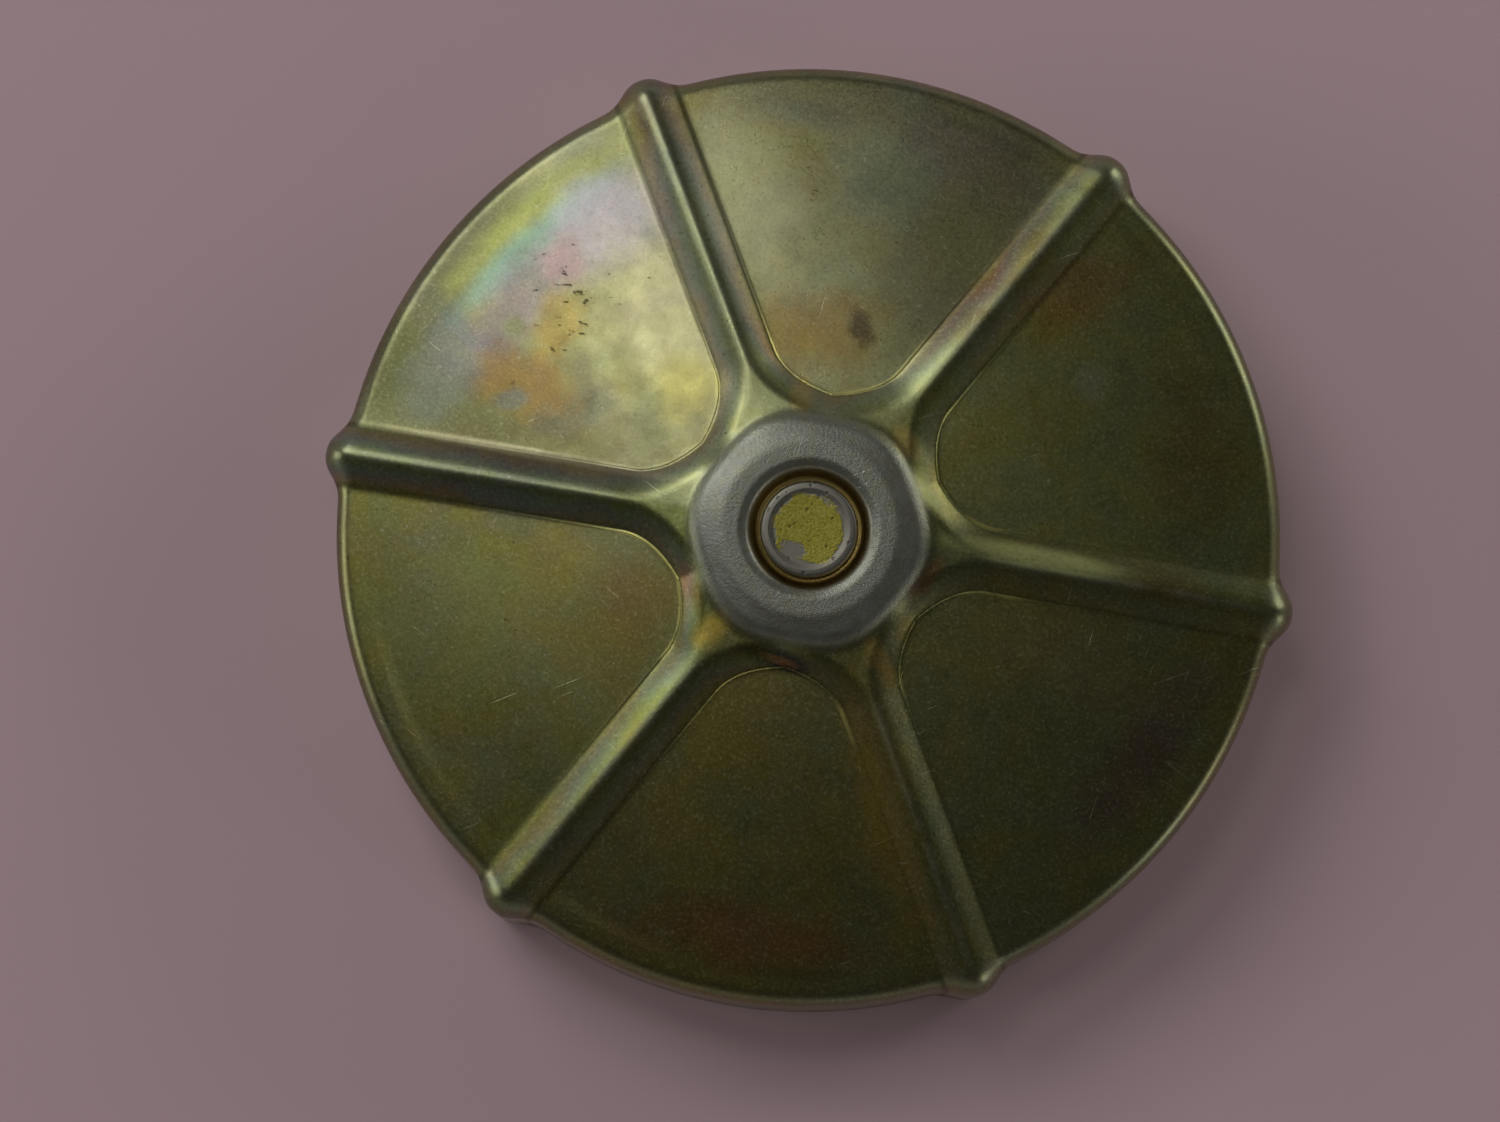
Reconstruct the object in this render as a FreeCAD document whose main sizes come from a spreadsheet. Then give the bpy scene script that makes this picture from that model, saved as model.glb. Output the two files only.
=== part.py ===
import FreeCAD, Part
import math
import os
import Sketcher

# Vented bayonet filler cap, in millimetres.
# Origin: centre of the skirt's bottom edge. +Z points up through the hub.
# A rib lies on +X and the others follow every 60 degrees.

SIZES = {
    # drawn outer shell
    "shell_wall": 0.8,
    "skirt_foot_r": 36.8,
    "skirt_top_r": 36.6,
    "rim_z": 13.82,
    "rim_roll": 1.35,
    "dome_r": 344.0,
    "hub_foot_r": 10.6,
    "hub_foot_z": 15.6,
    "hub_top_z": 17.4,
    "hub_shoulder_r": 8.9,
    "hub_shoulder_round": 2.2,
    "hub_lip_r": 5.4,
    "hub_lip_round": 1.8,
    "dimple_r": 4.3,
    "dimple_z": 16.1,
    # radial ribs and the lugs they end in
    "rib_count": 6,
    "rib_round": 3.0,
    "rib_root_r": 8.0,
    "rib_hollow_root_r": 7.0,
    "rib_slope": 4.0,
    "rib_end_crest_z": 14.9,
    "lug_r": 38.0,
    # hub rivet and its washer
    "rivet_shank_r": 2.4,
    "rivet_head_r": 3.75,
    "rivet_head_thick": 0.8,
    "rivet_head_round": 0.3,
    "rivet_tail_r": 3.4,
    "rivet_tail_thick": 1.0,
    "washer_r": 4.3,
    "washer_thick": 0.7,
    # drawn locking cup
    "cup_wall": 0.8,
    "cup_boss_r": 6.4,
    "cup_top_z": 13.2,
    "cup_upper_r": 20.6,
    "cup_shoulder_z": 8.3,
    "cup_lower_r": 21.8,
    "cup_foot_z": 1.6,
    "cup_bend": 1.4,
    "ear_r": 25.4,
    "ear_half_width": 6.0,
    "ear_thick": 1.1,
    "ear_count": 2,
    "vent_hole_r": 1.25,
    "vent_count": 6,
    "vent_ring_r": 13.0,
    # sealing stack round the cup
    "stack_bore_r": 20.9,
    "gasket_r": 30.0,
    "gasket_thick": 2.0,
    "plate_lip_r": 30.9,
    "plate_thick": 0.7,
    "plate_lip_drop": 1.0,
    "thrust_r": 27.0,
    "thrust_thick": 0.4,
    "spring_ring_bore_r": 21.2,
    "spring_ring_r": 24.4,
    "spring_thick": 0.4,
    "finger_rise": 1.7,
    "finger_root_r": 23.5,
    "finger_bend_r": 29.6,
    "finger_tip_r": 30.6,
    "finger_width": 5.0,
    "finger_count": 6,
    # vent filter and its retainer, under the cup's top
    "filter_bore_r": 9.6,
    "filter_r": 17.5,
    "filter_thick": 1.5,
    "retainer_bore_r": 9.2,
    "retainer_r": 19.75,
    "retainer_thick": 0.4,
    "retainer_rim": 1.4,
    # valve seat plate and the ring that seals its rim
    "seat_z": 4.2,
    "seat_thick": 0.8,
    "seat_bore_r": 4.0,
    "seat_r": 20.95,
    "seat_rim_top_z": 7.1,
    "seat_lip_inner_r": 6.5,
    "seat_lip_outer_r": 7.1,
    "seat_lip_rise": 0.4,
    # pressure valve
    "valve_hole_r": 1.5,
    "seal_bore_r": 2.0,
    "seal_r": 8.0,
    "seal_thick": 1.2,
    "disc_thick": 0.6,
    "disc_rim_inner_r": 8.2,
    "disc_r": 8.8,
    "disc_rim_drop": 0.7,
    "pressure_wire_r": 0.35,
    "pressure_coil_r": 4.9,
    "pressure_turns": 4.5,
    # vacuum valve
    "button_r": 3.2,
    "button_thick": 0.8,
    "stem_r": 0.8,
    "stem_top_z": 11.0,
    "vacuum_wire_r": 0.175,
    "vacuum_coil_r": 1.95,
    "vacuum_coil_height": 3.2,
    "vacuum_turns": 4.0,
    "clip_r": 2.5,
    "clip_thick": 0.4,
    # splash baffle and its rivets
    "baffle_z": 2.0,
    "baffle_thick": 0.6,
    "baffle_r": 12.0,
    "leg_root_r": 11.0,
    "foot_r": 17.0,
    "leg_width": 5.0,
    "leg_count": 3,
    "small_rivet_ring_r": 14.9,
    "small_rivet_r": 0.9,
    "small_head_r": 1.6,
    "small_head_thick": 0.5,
}

BELOW = 1.0  # how far a cut starts beyond the face it opens
HALF_SECTOR = 30.0  # degrees from a rib to the middle of a panel
BAFFLE_TURN = 90.0  # degrees from the first rib to the baffle's first leg
TOUCH = 0.01  # how closely a circular edge must match its place to be rounded


class Term:
    """A length that holds both its number and the sheet expression that drives it."""

    def __init__(self, value, text):
        self.value = float(value)
        self.text = text

    def __add__(self, other):
        other = as_term(other)
        return Term(self.value + other.value, f"({self.text} + {other.text})")

    def __sub__(self, other):
        other = as_term(other)
        return Term(self.value - other.value, f"({self.text} - {other.text})")

    def __mul__(self, other):
        other = as_term(other)
        return Term(self.value * other.value, f"({self.text} * {other.text})")

    def __truediv__(self, other):
        other = as_term(other)
        return Term(self.value / other.value, f"({self.text} / {other.text})")

    def __neg__(self):
        return Term(-self.value, f"(0 - {self.text})")


def as_term(number):
    """Return number as a Term, unchanged if it already is one."""
    if isinstance(number, Term):
        return number
    return Term(number, repr(round(float(number), 6)))


def size(name):
    """Return the named driving size as a Term."""
    return Term(SIZES[name], f"Sizes.{name}")


ZERO = as_term(0.0)

doc = FreeCAD.newDocument("FillerCap")
sheet = doc.addObject("Spreadsheet::Sheet", "Sizes")
for row, (alias, number) in enumerate(SIZES.items(), 1):
    sheet.set(f"A{row}", alias)
    sheet.set(f"B{row}", str(number))
    sheet.setAlias(f"B{row}", alias)
doc.recompute()

bodies = []


# ---- shared builders ----------------------------------------------------------------------

def new_body(label, height=ZERO, turn=0.0):
    """Start a sub-part whose own origin sits at the given height, turned about Z."""
    body = doc.addObject("PartDesign::Body", label)
    body.Label = label
    base = FreeCAD.Vector(0, 0, height.value)
    body.Placement = FreeCAD.Placement(base, FreeCAD.Rotation(FreeCAD.Vector(0, 0, 1), turn))
    body.setExpression(".Placement.Base.z", height.text)
    bodies.append(body)
    return body


def origin_plane(body, role):
    """Return one of the body's own origin planes."""
    return next(item for item in body.Origin.OriginFeatures if item.Role == role)


def sketch_on(body, role, name, lift=ZERO):
    """Attach a new sketch to an origin plane, moved along the plane's normal by lift."""
    sketch = body.newObject("Sketcher::SketchObject", name)
    sketch.AttachmentSupport = (origin_plane(body, role), "")
    sketch.MapMode = "FlatFace"
    offset = FreeCAD.Vector(0, 0, lift.value)
    sketch.AttachmentOffset = FreeCAD.Placement(offset, FreeCAD.Rotation())
    sketch.setExpression("AttachmentOffset.Base.z", lift.text)
    return sketch


def constrain(sketch, kind, target, term):
    """Add a driving constraint and bind it to the sheet."""
    index = sketch.addConstraint(Sketcher.Constraint(kind, *target, term.value))
    sketch.setExpression(f"Constraints[{index}]", term.text)


def fix_point(sketch, geometry, point, across, up):
    """Hold one point of the sketch at its distances from the sketch's origin."""
    constrain(sketch, "DistanceX", (-1, 1, geometry, point), across)
    constrain(sketch, "DistanceY", (-1, 1, geometry, point), up)


def arc_between(start, finish, radius):
    """Return the short arc from start to finish: anticlockwise, or clockwise if radius < 0."""
    middle = (start + finish) * 0.5
    chord = finish - start
    reach = math.sqrt(radius * radius - chord.Length * chord.Length / 4)
    left = FreeCAD.Vector(-chord.y, chord.x, 0).normalize()
    centre = middle + left * math.copysign(reach, radius)
    first = math.atan2(start.y - centre.y, start.x - centre.x)
    last = math.atan2(finish.y - centre.y, finish.x - centre.x)
    if radius < 0:
        first, last = last, first
    if last < first:
        last += 2 * math.pi
    circle = Part.Circle(centre, FreeCAD.Vector(0, 0, 1), abs(radius))
    return Part.ArcOfCircle(circle, first, last)


def outline(sketch, corners, arcs=None):
    """Draw a closed outline through corners, each (across, up).

    arcs maps the number of a side to its radius; a negative radius bends clockwise.
    """
    arcs = arcs or {}
    spots = [FreeCAD.Vector(across.value, up.value, 0) for across, up in corners]
    ends = []
    for number, (across, up) in enumerate(corners):
        start = spots[number]
        finish = spots[(number + 1) % len(spots)]
        if number in arcs:
            radius = arcs[number]
            geometry = sketch.addGeometry(arc_between(start, finish, radius.value), False)
            constrain(sketch, "Radius", (geometry,), radius if radius.value > 0 else -radius)
            ends.append((geometry, 1, 2) if radius.value > 0 else (geometry, 2, 1))
        else:
            geometry = sketch.addGeometry(Part.LineSegment(start, finish), False)
            ends.append((geometry, 1, 2))
        fix_point(sketch, geometry, ends[-1][1], across, up)
    for number, (geometry, _, last_point) in enumerate(ends):
        following, first_point, _ = ends[(number + 1) % len(ends)]
        link = Sketcher.Constraint("Coincident", geometry, last_point, following, first_point)
        sketch.addConstraint(link)
    return sketch


def circle_at(sketch, across, up, radius):
    """Draw one driven circle."""
    centre = FreeCAD.Vector(across.value, up.value, 0)
    ring = Part.Circle(centre, FreeCAD.Vector(0, 0, 1), radius.value)
    geometry = sketch.addGeometry(ring, False)
    constrain(sketch, "Radius", (geometry,), radius)
    fix_point(sketch, geometry, 3, across, up)
    return sketch


def revolve(body, sketch, name, kind="Revolution"):
    """Turn a sketch a full circle about the body's Z axis, adding or (Groove) removing."""
    feature = body.newObject(f"PartDesign::{kind}", name)
    feature.Profile = sketch
    feature.ReferenceAxis = (sketch, ["V_Axis"])
    feature.Angle = 360.0
    sketch.Visibility = False
    return feature


def pad(body, sketch, name, length, midplane=False):
    """Raise a sketch by length."""
    feature = body.newObject("PartDesign::Pad", name)
    feature.Profile = sketch
    feature.Length = length.value
    feature.setExpression("Length", length.text)
    feature.Midplane = midplane
    sketch.Visibility = False
    return feature


def pocket_through(body, sketch, name):
    """Cut a sketch right through, both ways."""
    feature = body.newObject("PartDesign::Pocket", name)
    feature.Profile = sketch
    feature.Type = "ThroughAll"
    feature.Midplane = True
    sketch.Visibility = False
    return feature


def polar(body, originals, name, sketch, axis, count):
    """Repeat features evenly round a full circle."""
    feature = body.newObject("PartDesign::PolarPattern", name)
    feature.Originals = originals
    feature.Axis = (sketch, [axis])
    feature.Angle = 360.0
    feature.Occurrences = int(count.value)
    feature.setExpression("Occurrences", count.text)
    body.Tip = feature
    return feature


def round_edges(body, name, radius, places):
    """Round the circular edges that lie at the given (radius, height) places."""
    doc.recompute()
    base = body.Tip
    chosen = []
    for number, edge in enumerate(base.Shape.Edges, 1):
        curve = edge.Curve
        if not isinstance(curve, Part.Circle):
            continue
        centred = math.hypot(curve.Center.x, curve.Center.y) < TOUCH
        for across, up in places:
            same_radius = abs(curve.Radius - across.value) < TOUCH
            same_height = abs(curve.Center.z - up.value) < TOUCH
            if centred and same_radius and same_height:
                chosen.append(f"Edge{number}")
    if len(chosen) < len(places):
        raise ValueError(f"{name}: an edge to round was not found")
    feature = body.newObject("PartDesign::Fillet", name)
    feature.Base = (base, chosen)
    feature.Radius = radius.value
    feature.setExpression("Radius", radius.text)
    return feature


def primitive(body, kind, name, sizes, place, tilt=ZERO):
    """Add or remove a cylinder or sphere at place (x, z), its axis tilted from +Z towards +X."""
    feature = body.newObject(f"PartDesign::{kind}", name)
    feature.AttachmentSupport = (origin_plane(body, "XY_Plane"), "")
    feature.MapMode = "FlatFace"
    across, up = place
    base = FreeCAD.Vector(across.value, 0, up.value)
    turn = FreeCAD.Rotation(FreeCAD.Vector(0, 1, 0), tilt.value)
    feature.AttachmentOffset = FreeCAD.Placement(base, turn)
    feature.setExpression("AttachmentOffset.Base.x", across.text)
    feature.setExpression("AttachmentOffset.Base.z", up.text)
    for key, term in sizes.items():
        setattr(feature, key, term.value)
        feature.setExpression(key, term.text)
    return feature


def ring(label, inner, outer, thick, height):
    """Make a plain flat ring."""
    body = new_body(label, height)
    sketch = sketch_on(body, "XZ_Plane", f"{label}_section")
    outline(sketch, [(inner, ZERO), (outer, ZERO), (outer, thick), (inner, thick)])
    revolve(body, sketch, f"{label}_turned")
    return body


# ---- cap shell ----------------------------------------------------------------------------

wall = size("shell_wall")
rib_round = size("rib_round")
hub_top_z = size("hub_top_z")
dimple_z = size("dimple_z")
rib_tilt = size("rib_slope") + 90
lug_axis_r = size("lug_r") - rib_round
rib_end_z = size("rib_end_crest_z") - rib_round
rib_fall = math.tan(math.radians(SIZES["rib_slope"]))


def rib_axis_z(radius):
    """Height of the rib's centre line at a radius."""
    return rib_end_z + (lug_axis_r - radius) * rib_fall


def add_ribs(body, prefix, kind, radius, root_r, foot_z, sketch):
    """Add or remove the round-backed ribs: sloped run, round corner and upright lug."""
    run = (lug_axis_r - root_r) / math.cos(math.radians(SIZES["rib_slope"]))
    corner = (lug_axis_r, rib_end_z)
    pieces = [
        (f"{kind}Cylinder", f"{prefix}_run", {"Radius": radius, "Height": run},
         (root_r, rib_axis_z(root_r)), rib_tilt),
        (f"{kind}Sphere", f"{prefix}_corner", {"Radius": radius}, corner, ZERO),
        (f"{kind}Cylinder", f"{prefix}_lug", {"Radius": radius, "Height": rib_end_z - foot_z},
         (lug_axis_r, foot_z), ZERO),
    ]
    for shape, name, sizes, place, tilt in pieces:
        tool = primitive(body, shape, name, sizes, place, tilt)
        polar(body, [tool], f"{name}_pattern", sketch, "V_Axis", size("rib_count"))


def half_turn_shift(rise, run):
    """Sideways shift per unit of wall at a corner between a level and a leaning line."""
    return math.tan(math.atan2(rise, run) / 2)


def build_cap_shell():
    """Drawn sheet-steel shell: domed panels, hub with dimple, ribs, lugs, rolled rim, skirt."""
    body = new_body("cap_shell")
    rim = (size("skirt_top_r"), size("rim_z"))
    lip = (size("hub_lip_r"), hub_top_z)
    shoulder = (size("hub_shoulder_r"), hub_top_z)
    dimple = (size("dimple_r"), dimple_z)
    outer = sketch_on(body, "XZ_Plane", "shell_outer_section")
    corners = [
        (ZERO, ZERO),
        (size("skirt_foot_r"), ZERO),
        rim,
        (size("hub_foot_r"), size("hub_foot_z")),
        shoulder,
        lip,
        dimple,
        (ZERO, dimple_z),
    ]
    outline(outer, corners, {2: size("dome_r")})
    revolve(body, outer, "shell_outer")
    round_edges(body, "rim_roll", size("rim_roll"), [rim])
    round_edges(body, "hub_shoulder_round", size("hub_shoulder_round"), [shoulder])
    round_edges(body, "hub_lip_round", size("hub_lip_round"), [lip])
    add_ribs(body, "rib", "Additive", rib_round, size("rib_root_r"), ZERO, outer)
    doc.recompute()

    dimple_lean = half_turn_shift(hub_top_z.value - dimple_z.value,
                                  SIZES["hub_lip_r"] - SIZES["dimple_r"])
    hub_lean = half_turn_shift(hub_top_z.value - SIZES["hub_foot_z"],
                               SIZES["hub_foot_r"] - SIZES["hub_shoulder_r"])
    inner_rim = (rim[0] - wall, rim[1] - wall)
    inner_shoulder = (shoulder[0] - wall * hub_lean, hub_top_z - wall)
    inner = sketch_on(body, "XZ_Plane", "shell_inner_section")
    corners = [
        (ZERO, as_term(-BELOW)),
        (size("skirt_foot_r") - wall, as_term(-BELOW)),
        inner_rim,
        (size("hub_foot_r") - wall * hub_lean, size("hub_foot_z") - wall),
        inner_shoulder,
        (size("hub_lip_r") + wall * dimple_lean, hub_top_z - wall),
        (size("dimple_r") + wall * dimple_lean, dimple_z - wall),
        (ZERO, dimple_z - wall),
    ]
    outline(inner, corners, {2: size("dome_r") - wall})
    revolve(body, inner, "shell_hollow", "Groove")
    add_ribs(body, "rib_hollow", "Subtractive", rib_round - wall,
             size("rib_hollow_root_r"), as_term(-BELOW), outer)
    hole = {"Radius": size("rivet_shank_r"), "Height": hub_top_z - size("seat_z")}
    primitive(body, "SubtractiveCylinder", "rivet_hole", hole, (ZERO, size("seat_z")))
    return body


# ---- hub rivet and washer -----------------------------------------------------------------

cup_wall = size("cup_wall")
boss_top_z = dimple_z - wall
boss_under_z = boss_top_z - cup_wall
washer_z = boss_under_z - size("washer_thick")


def build_hub_rivet():
    """Flat-headed rivet, its tail clinched under the washer."""
    body = new_body("hub_rivet")
    head_r = size("rivet_head_r")
    head_top = dimple_z + size("rivet_head_thick")
    tail_z = washer_z - size("rivet_tail_thick")
    sketch = sketch_on(body, "XZ_Plane", "rivet_section")
    corners = [
        (ZERO, tail_z),
        (size("rivet_tail_r"), tail_z),
        (size("rivet_tail_r"), washer_z),
        (size("rivet_shank_r"), washer_z),
        (size("rivet_shank_r"), dimple_z),
        (head_r, dimple_z),
        (head_r, head_top),
        (ZERO, head_top),
    ]
    outline(sketch, corners)
    revolve(body, sketch, "rivet_turned")
    round_edges(body, "rivet_head_round", size("rivet_head_round"), [(head_r, head_top)])
    return body


def build_hub_washer():
    """Washer between the cup's boss and the rivet's tail."""
    return ring("hub_washer", size("rivet_shank_r"), size("washer_r"),
                size("washer_thick"), washer_z)


# ---- locking cup --------------------------------------------------------------------------

cup_under_z = size("cup_top_z") - cup_wall
shoulder_under_z = size("cup_shoulder_z") - cup_wall
cup_upper_bore_r = size("cup_upper_r") - cup_wall
cup_lower_bore_r = size("cup_lower_r") - cup_wall


def build_locking_cup():
    """Drawn cup with a boss, vent holes and two bayonet ears."""
    body = new_body("locking_cup")
    boss_r = size("cup_boss_r")
    top_z = size("cup_top_z")
    upper_r = size("cup_upper_r")
    lower_r = size("cup_lower_r")
    sketch = sketch_on(body, "XZ_Plane", "cup_section")
    corners = [
        (size("rivet_shank_r"), boss_under_z),
        (boss_r - cup_wall, boss_under_z),
        (boss_r - cup_wall, cup_under_z),
        (cup_upper_bore_r, cup_under_z),
        (cup_upper_bore_r, shoulder_under_z),
        (cup_lower_bore_r, shoulder_under_z),
        (cup_lower_bore_r, size("cup_foot_z")),
        (lower_r, size("cup_foot_z")),
        (lower_r, size("cup_shoulder_z")),
        (upper_r, size("cup_shoulder_z")),
        (upper_r, top_z),
        (boss_r, top_z),
        (boss_r, boss_top_z),
        (size("rivet_shank_r"), boss_top_z),
    ]
    outline(sketch, corners)
    revolve(body, sketch, "cup_turned")
    round_edges(body, "cup_outer_bend", size("cup_bend"), [(upper_r, top_z)])
    round_edges(body, "cup_inner_bend", size("cup_bend") - cup_wall,
                [(cup_upper_bore_r, cup_under_z)])

    ear_r = size("ear_r")
    half = size("ear_half_width")
    ear_reach = math.sqrt(ear_r.value ** 2 - half.value ** 2)
    ear_side = Term(ear_reach, f"sqrt({ear_r.text} ^ 2 - {half.text} ^ 2)")
    ear_root = lower_r - cup_wall / 2
    root_side = Term(math.sqrt(ear_root.value ** 2 - half.value ** 2),
                     f"sqrt({ear_root.text} ^ 2 - {half.text} ^ 2)")
    ear = sketch_on(body, "XY_Plane", "ear_outline", size("cup_foot_z"))
    corners = [(root_side, -half), (ear_side, -half), (ear_side, half), (root_side, half)]
    outline(ear, corners, {1: ear_r, 3: -ear_root})
    ear_pad = pad(body, ear, "ear", size("ear_thick"))
    polar(body, [ear_pad], "ear_pair", ear, "N_Axis", size("ear_count"))

    vent = sketch_on(body, "XY_Plane", "vent_outline", cup_under_z - BELOW)
    circle_at(vent, size("vent_ring_r"), ZERO, size("vent_hole_r"))
    vent_cut = body.newObject("PartDesign::Pocket", "vent_hole")
    vent_cut.Profile = vent
    depth = cup_wall + 2 * BELOW
    vent_cut.Length = depth.value
    vent_cut.setExpression("Length", depth.text)
    vent_cut.Reversed = True
    vent.Visibility = False
    polar(body, [vent_cut], "vent_holes", vent, "N_Axis", size("vent_count"))
    return body


# ---- sealing stack ------------------------------------------------------------------------

gasket_z = size("cup_shoulder_z")
plate_z = gasket_z + size("gasket_thick")
thrust_z = plate_z + size("plate_thick")
spring_z = thrust_z + size("thrust_thick")


def build_gasket():
    """Flat sealing ring that meets the filler neck's lip."""
    return ring("gasket", size("stack_bore_r"), size("gasket_r"), size("gasket_thick"), gasket_z)


def build_gasket_plate():
    """Plate over the gasket, its edge turned down round it."""
    body = new_body("gasket_plate", plate_z)
    thick = size("plate_thick")
    lip_r = size("plate_lip_r")
    lip_inner_r = lip_r - thick
    drop = -size("plate_lip_drop")
    sketch = sketch_on(body, "XZ_Plane", "plate_section")
    corners = [
        (size("stack_bore_r"), ZERO),
        (lip_inner_r, ZERO),
        (lip_inner_r, drop),
        (lip_r, drop),
        (lip_r, thick),
        (size("stack_bore_r"), thick),
    ]
    outline(sketch, corners)
    revolve(body, sketch, "plate_turned")
    round_edges(body, "plate_bend", thick, [(lip_r, thick)])
    return body


def build_thrust_ring():
    """Flat ring the seal spring presses on."""
    return ring("thrust_ring", size("stack_bore_r"), size("thrust_r"),
                size("thrust_thick"), thrust_z)


def build_seal_spring():
    """Flat ring spring with six fingers bent up against the shell's panels."""
    body = new_body("seal_spring", spring_z, HALF_SECTOR)
    thick = size("spring_thick")
    rise = size("finger_rise")
    root = size("finger_root_r")
    ring_r = size("spring_ring_r")
    bend_r = size("finger_bend_r")
    tip_r = size("finger_tip_r")
    hub = sketch_on(body, "XZ_Plane", "spring_ring_section")
    bore_r = size("spring_ring_bore_r")
    outline(hub, [(bore_r, ZERO), (ring_r, ZERO), (ring_r, thick), (bore_r, thick)])
    revolve(body, hub, "spring_ring")
    finger = sketch_on(body, "XZ_Plane", "finger_section")
    corners = [
        (root, ZERO),
        (ring_r, ZERO),
        (bend_r, rise),
        (tip_r, rise),
        (tip_r, rise + thick),
        (bend_r, rise + thick),
        (ring_r, thick),
        (root, thick),
    ]
    outline(finger, corners)
    finger_pad = pad(body, finger, "finger", size("finger_width"), midplane=True)
    polar(body, [finger_pad], "fingers", finger, "V_Axis", size("finger_count"))
    return body


# ---- vent filter --------------------------------------------------------------------------

filter_z = cup_under_z - size("filter_thick")
retainer_z = filter_z - size("retainer_thick")


def build_vent_filter():
    """Open foam ring under the cup's vent holes."""
    return ring("vent_filter", size("filter_bore_r"), size("filter_r"),
                size("filter_thick"), filter_z)


def build_filter_retainer():
    """Thin dished ring pressed into the cup under the filter, with six vents."""
    body = new_body("filter_retainer", retainer_z, HALF_SECTOR)
    thick = size("retainer_thick")
    outer = size("retainer_r")
    rim = size("retainer_rim")
    bore = size("retainer_bore_r")
    sketch = sketch_on(body, "XZ_Plane", "retainer_section")
    corners = [(bore, ZERO), (outer, ZERO), (outer, rim), (outer - thick, rim),
               (outer - thick, thick), (bore, thick)]
    outline(sketch, corners)
    revolve(body, sketch, "retainer_turned")
    vent = sketch_on(body, "XY_Plane", "retainer_vent_outline")
    circle_at(vent, size("vent_ring_r"), ZERO, size("vent_hole_r"))
    vent_cut = pocket_through(body, vent, "retainer_vent")
    polar(body, [vent_cut], "retainer_vents", vent, "N_Axis", size("vent_count"))
    return body


# ---- valve seat plate ---------------------------------------------------------------------

seat_z = size("seat_z")
seat_top_z = seat_z + size("seat_thick")
seal_z = seat_top_z + size("seat_lip_rise")


def build_valve_seat_plate():
    """Dished plate across the cup, with the valve's raised seat lip."""
    body = new_body("valve_seat_plate", seat_z)
    thick = size("seat_thick")
    outer = size("seat_r")
    rim_top = size("seat_rim_top_z") - seat_z
    lip_top = thick + size("seat_lip_rise")
    sketch = sketch_on(body, "XZ_Plane", "seat_section")
    corners = [
        (size("seat_bore_r"), ZERO),
        (outer, ZERO),
        (outer, rim_top),
        (outer - thick, rim_top),
        (outer - thick, thick),
        (size("seat_lip_outer_r"), thick),
        (size("seat_lip_outer_r"), lip_top),
        (size("seat_lip_inner_r"), lip_top),
        (size("seat_lip_inner_r"), thick),
        (size("seat_bore_r"), thick),
    ]
    outline(sketch, corners)
    revolve(body, sketch, "seat_turned")
    round_edges(body, "seat_bend", thick, [(outer, ZERO)])
    hole = sketch_on(body, "XY_Plane", "seat_rivet_outline")
    circle_at(hole, ZERO, size("small_rivet_ring_r"), size("small_rivet_r"))
    hole_cut = pocket_through(body, hole, "seat_rivet_hole")
    polar(body, [hole_cut], "seat_rivet_holes", hole, "N_Axis", size("leg_count"))
    return body


def build_seat_plate_gasket():
    """Thin fibre ring between the seat plate's rim and the cup's shoulder."""
    thick = shoulder_under_z - size("seat_rim_top_z")
    return ring("seat_plate_gasket", size("seat_r") - size("seat_thick"), size("seat_r"),
                thick, size("seat_rim_top_z"))


# ---- pressure valve -----------------------------------------------------------------------

disc_z = seal_z + size("seal_thick")
disc_top_z = disc_z + size("disc_thick")


def build_pressure_valve_seal():
    """Rubber ring that closes on the seat lip."""
    return ring("pressure_valve_seal", size("seal_bore_r"), size("seal_r"),
                size("seal_thick"), seal_z)


def build_pressure_valve_disc():
    """Pressed disc over the rubber ring, its rim turned down."""
    body = new_body("pressure_valve_disc", disc_z)
    thick = size("disc_thick")
    outer = size("disc_r")
    drop = -size("disc_rim_drop")
    sketch = sketch_on(body, "XZ_Plane", "disc_section")
    corners = [
        (size("valve_hole_r"), ZERO),
        (size("disc_rim_inner_r"), ZERO),
        (size("disc_rim_inner_r"), drop),
        (outer, drop),
        (outer, thick),
        (size("valve_hole_r"), thick),
    ]
    outline(sketch, corners)
    revolve(body, sketch, "disc_turned")
    round_edges(body, "disc_bend", thick, [(outer, thick)])
    return body


def coil_spring(label, wire_r, coil_r, height, turns, foot_z):
    """Round-wire coil spring standing on foot_z."""
    body = new_body(label, foot_z)
    sketch = sketch_on(body, "XZ_Plane", f"{label}_wire")
    circle_at(sketch, coil_r, wire_r, wire_r)
    helix = body.newObject("PartDesign::AdditiveHelix", f"{label}_coil")
    helix.Profile = sketch
    helix.ReferenceAxis = (sketch, ["V_Axis"])
    helix.Mode = "height-turns-angle"
    rise = height - wire_r - wire_r
    helix.Height = rise.value
    helix.setExpression("Height", rise.text)
    helix.Turns = turns.value
    helix.setExpression("Turns", turns.text)
    sketch.Visibility = False
    return body


def build_pressure_valve_spring():
    """Coil spring between the disc and the underside of the cup's boss."""
    return coil_spring("pressure_valve_spring", size("pressure_wire_r"), size("pressure_coil_r"),
                       boss_under_z - disc_top_z, size("pressure_turns"), disc_top_z)


# ---- vacuum valve -------------------------------------------------------------------------

clip_z = disc_top_z + size("vacuum_coil_height")


def build_vacuum_valve():
    """Button that closes on the rubber ring from below, with its stem."""
    body = new_body("vacuum_valve", seal_z)
    under = -size("button_thick")
    stem_top = size("stem_top_z") - seal_z
    sketch = sketch_on(body, "XZ_Plane", "button_section")
    corners = [
        (ZERO, under),
        (size("button_r"), under),
        (size("button_r"), ZERO),
        (size("stem_r"), ZERO),
        (size("stem_r"), stem_top),
        (ZERO, stem_top),
    ]
    outline(sketch, corners)
    revolve(body, sketch, "button_turned")
    return body


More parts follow.
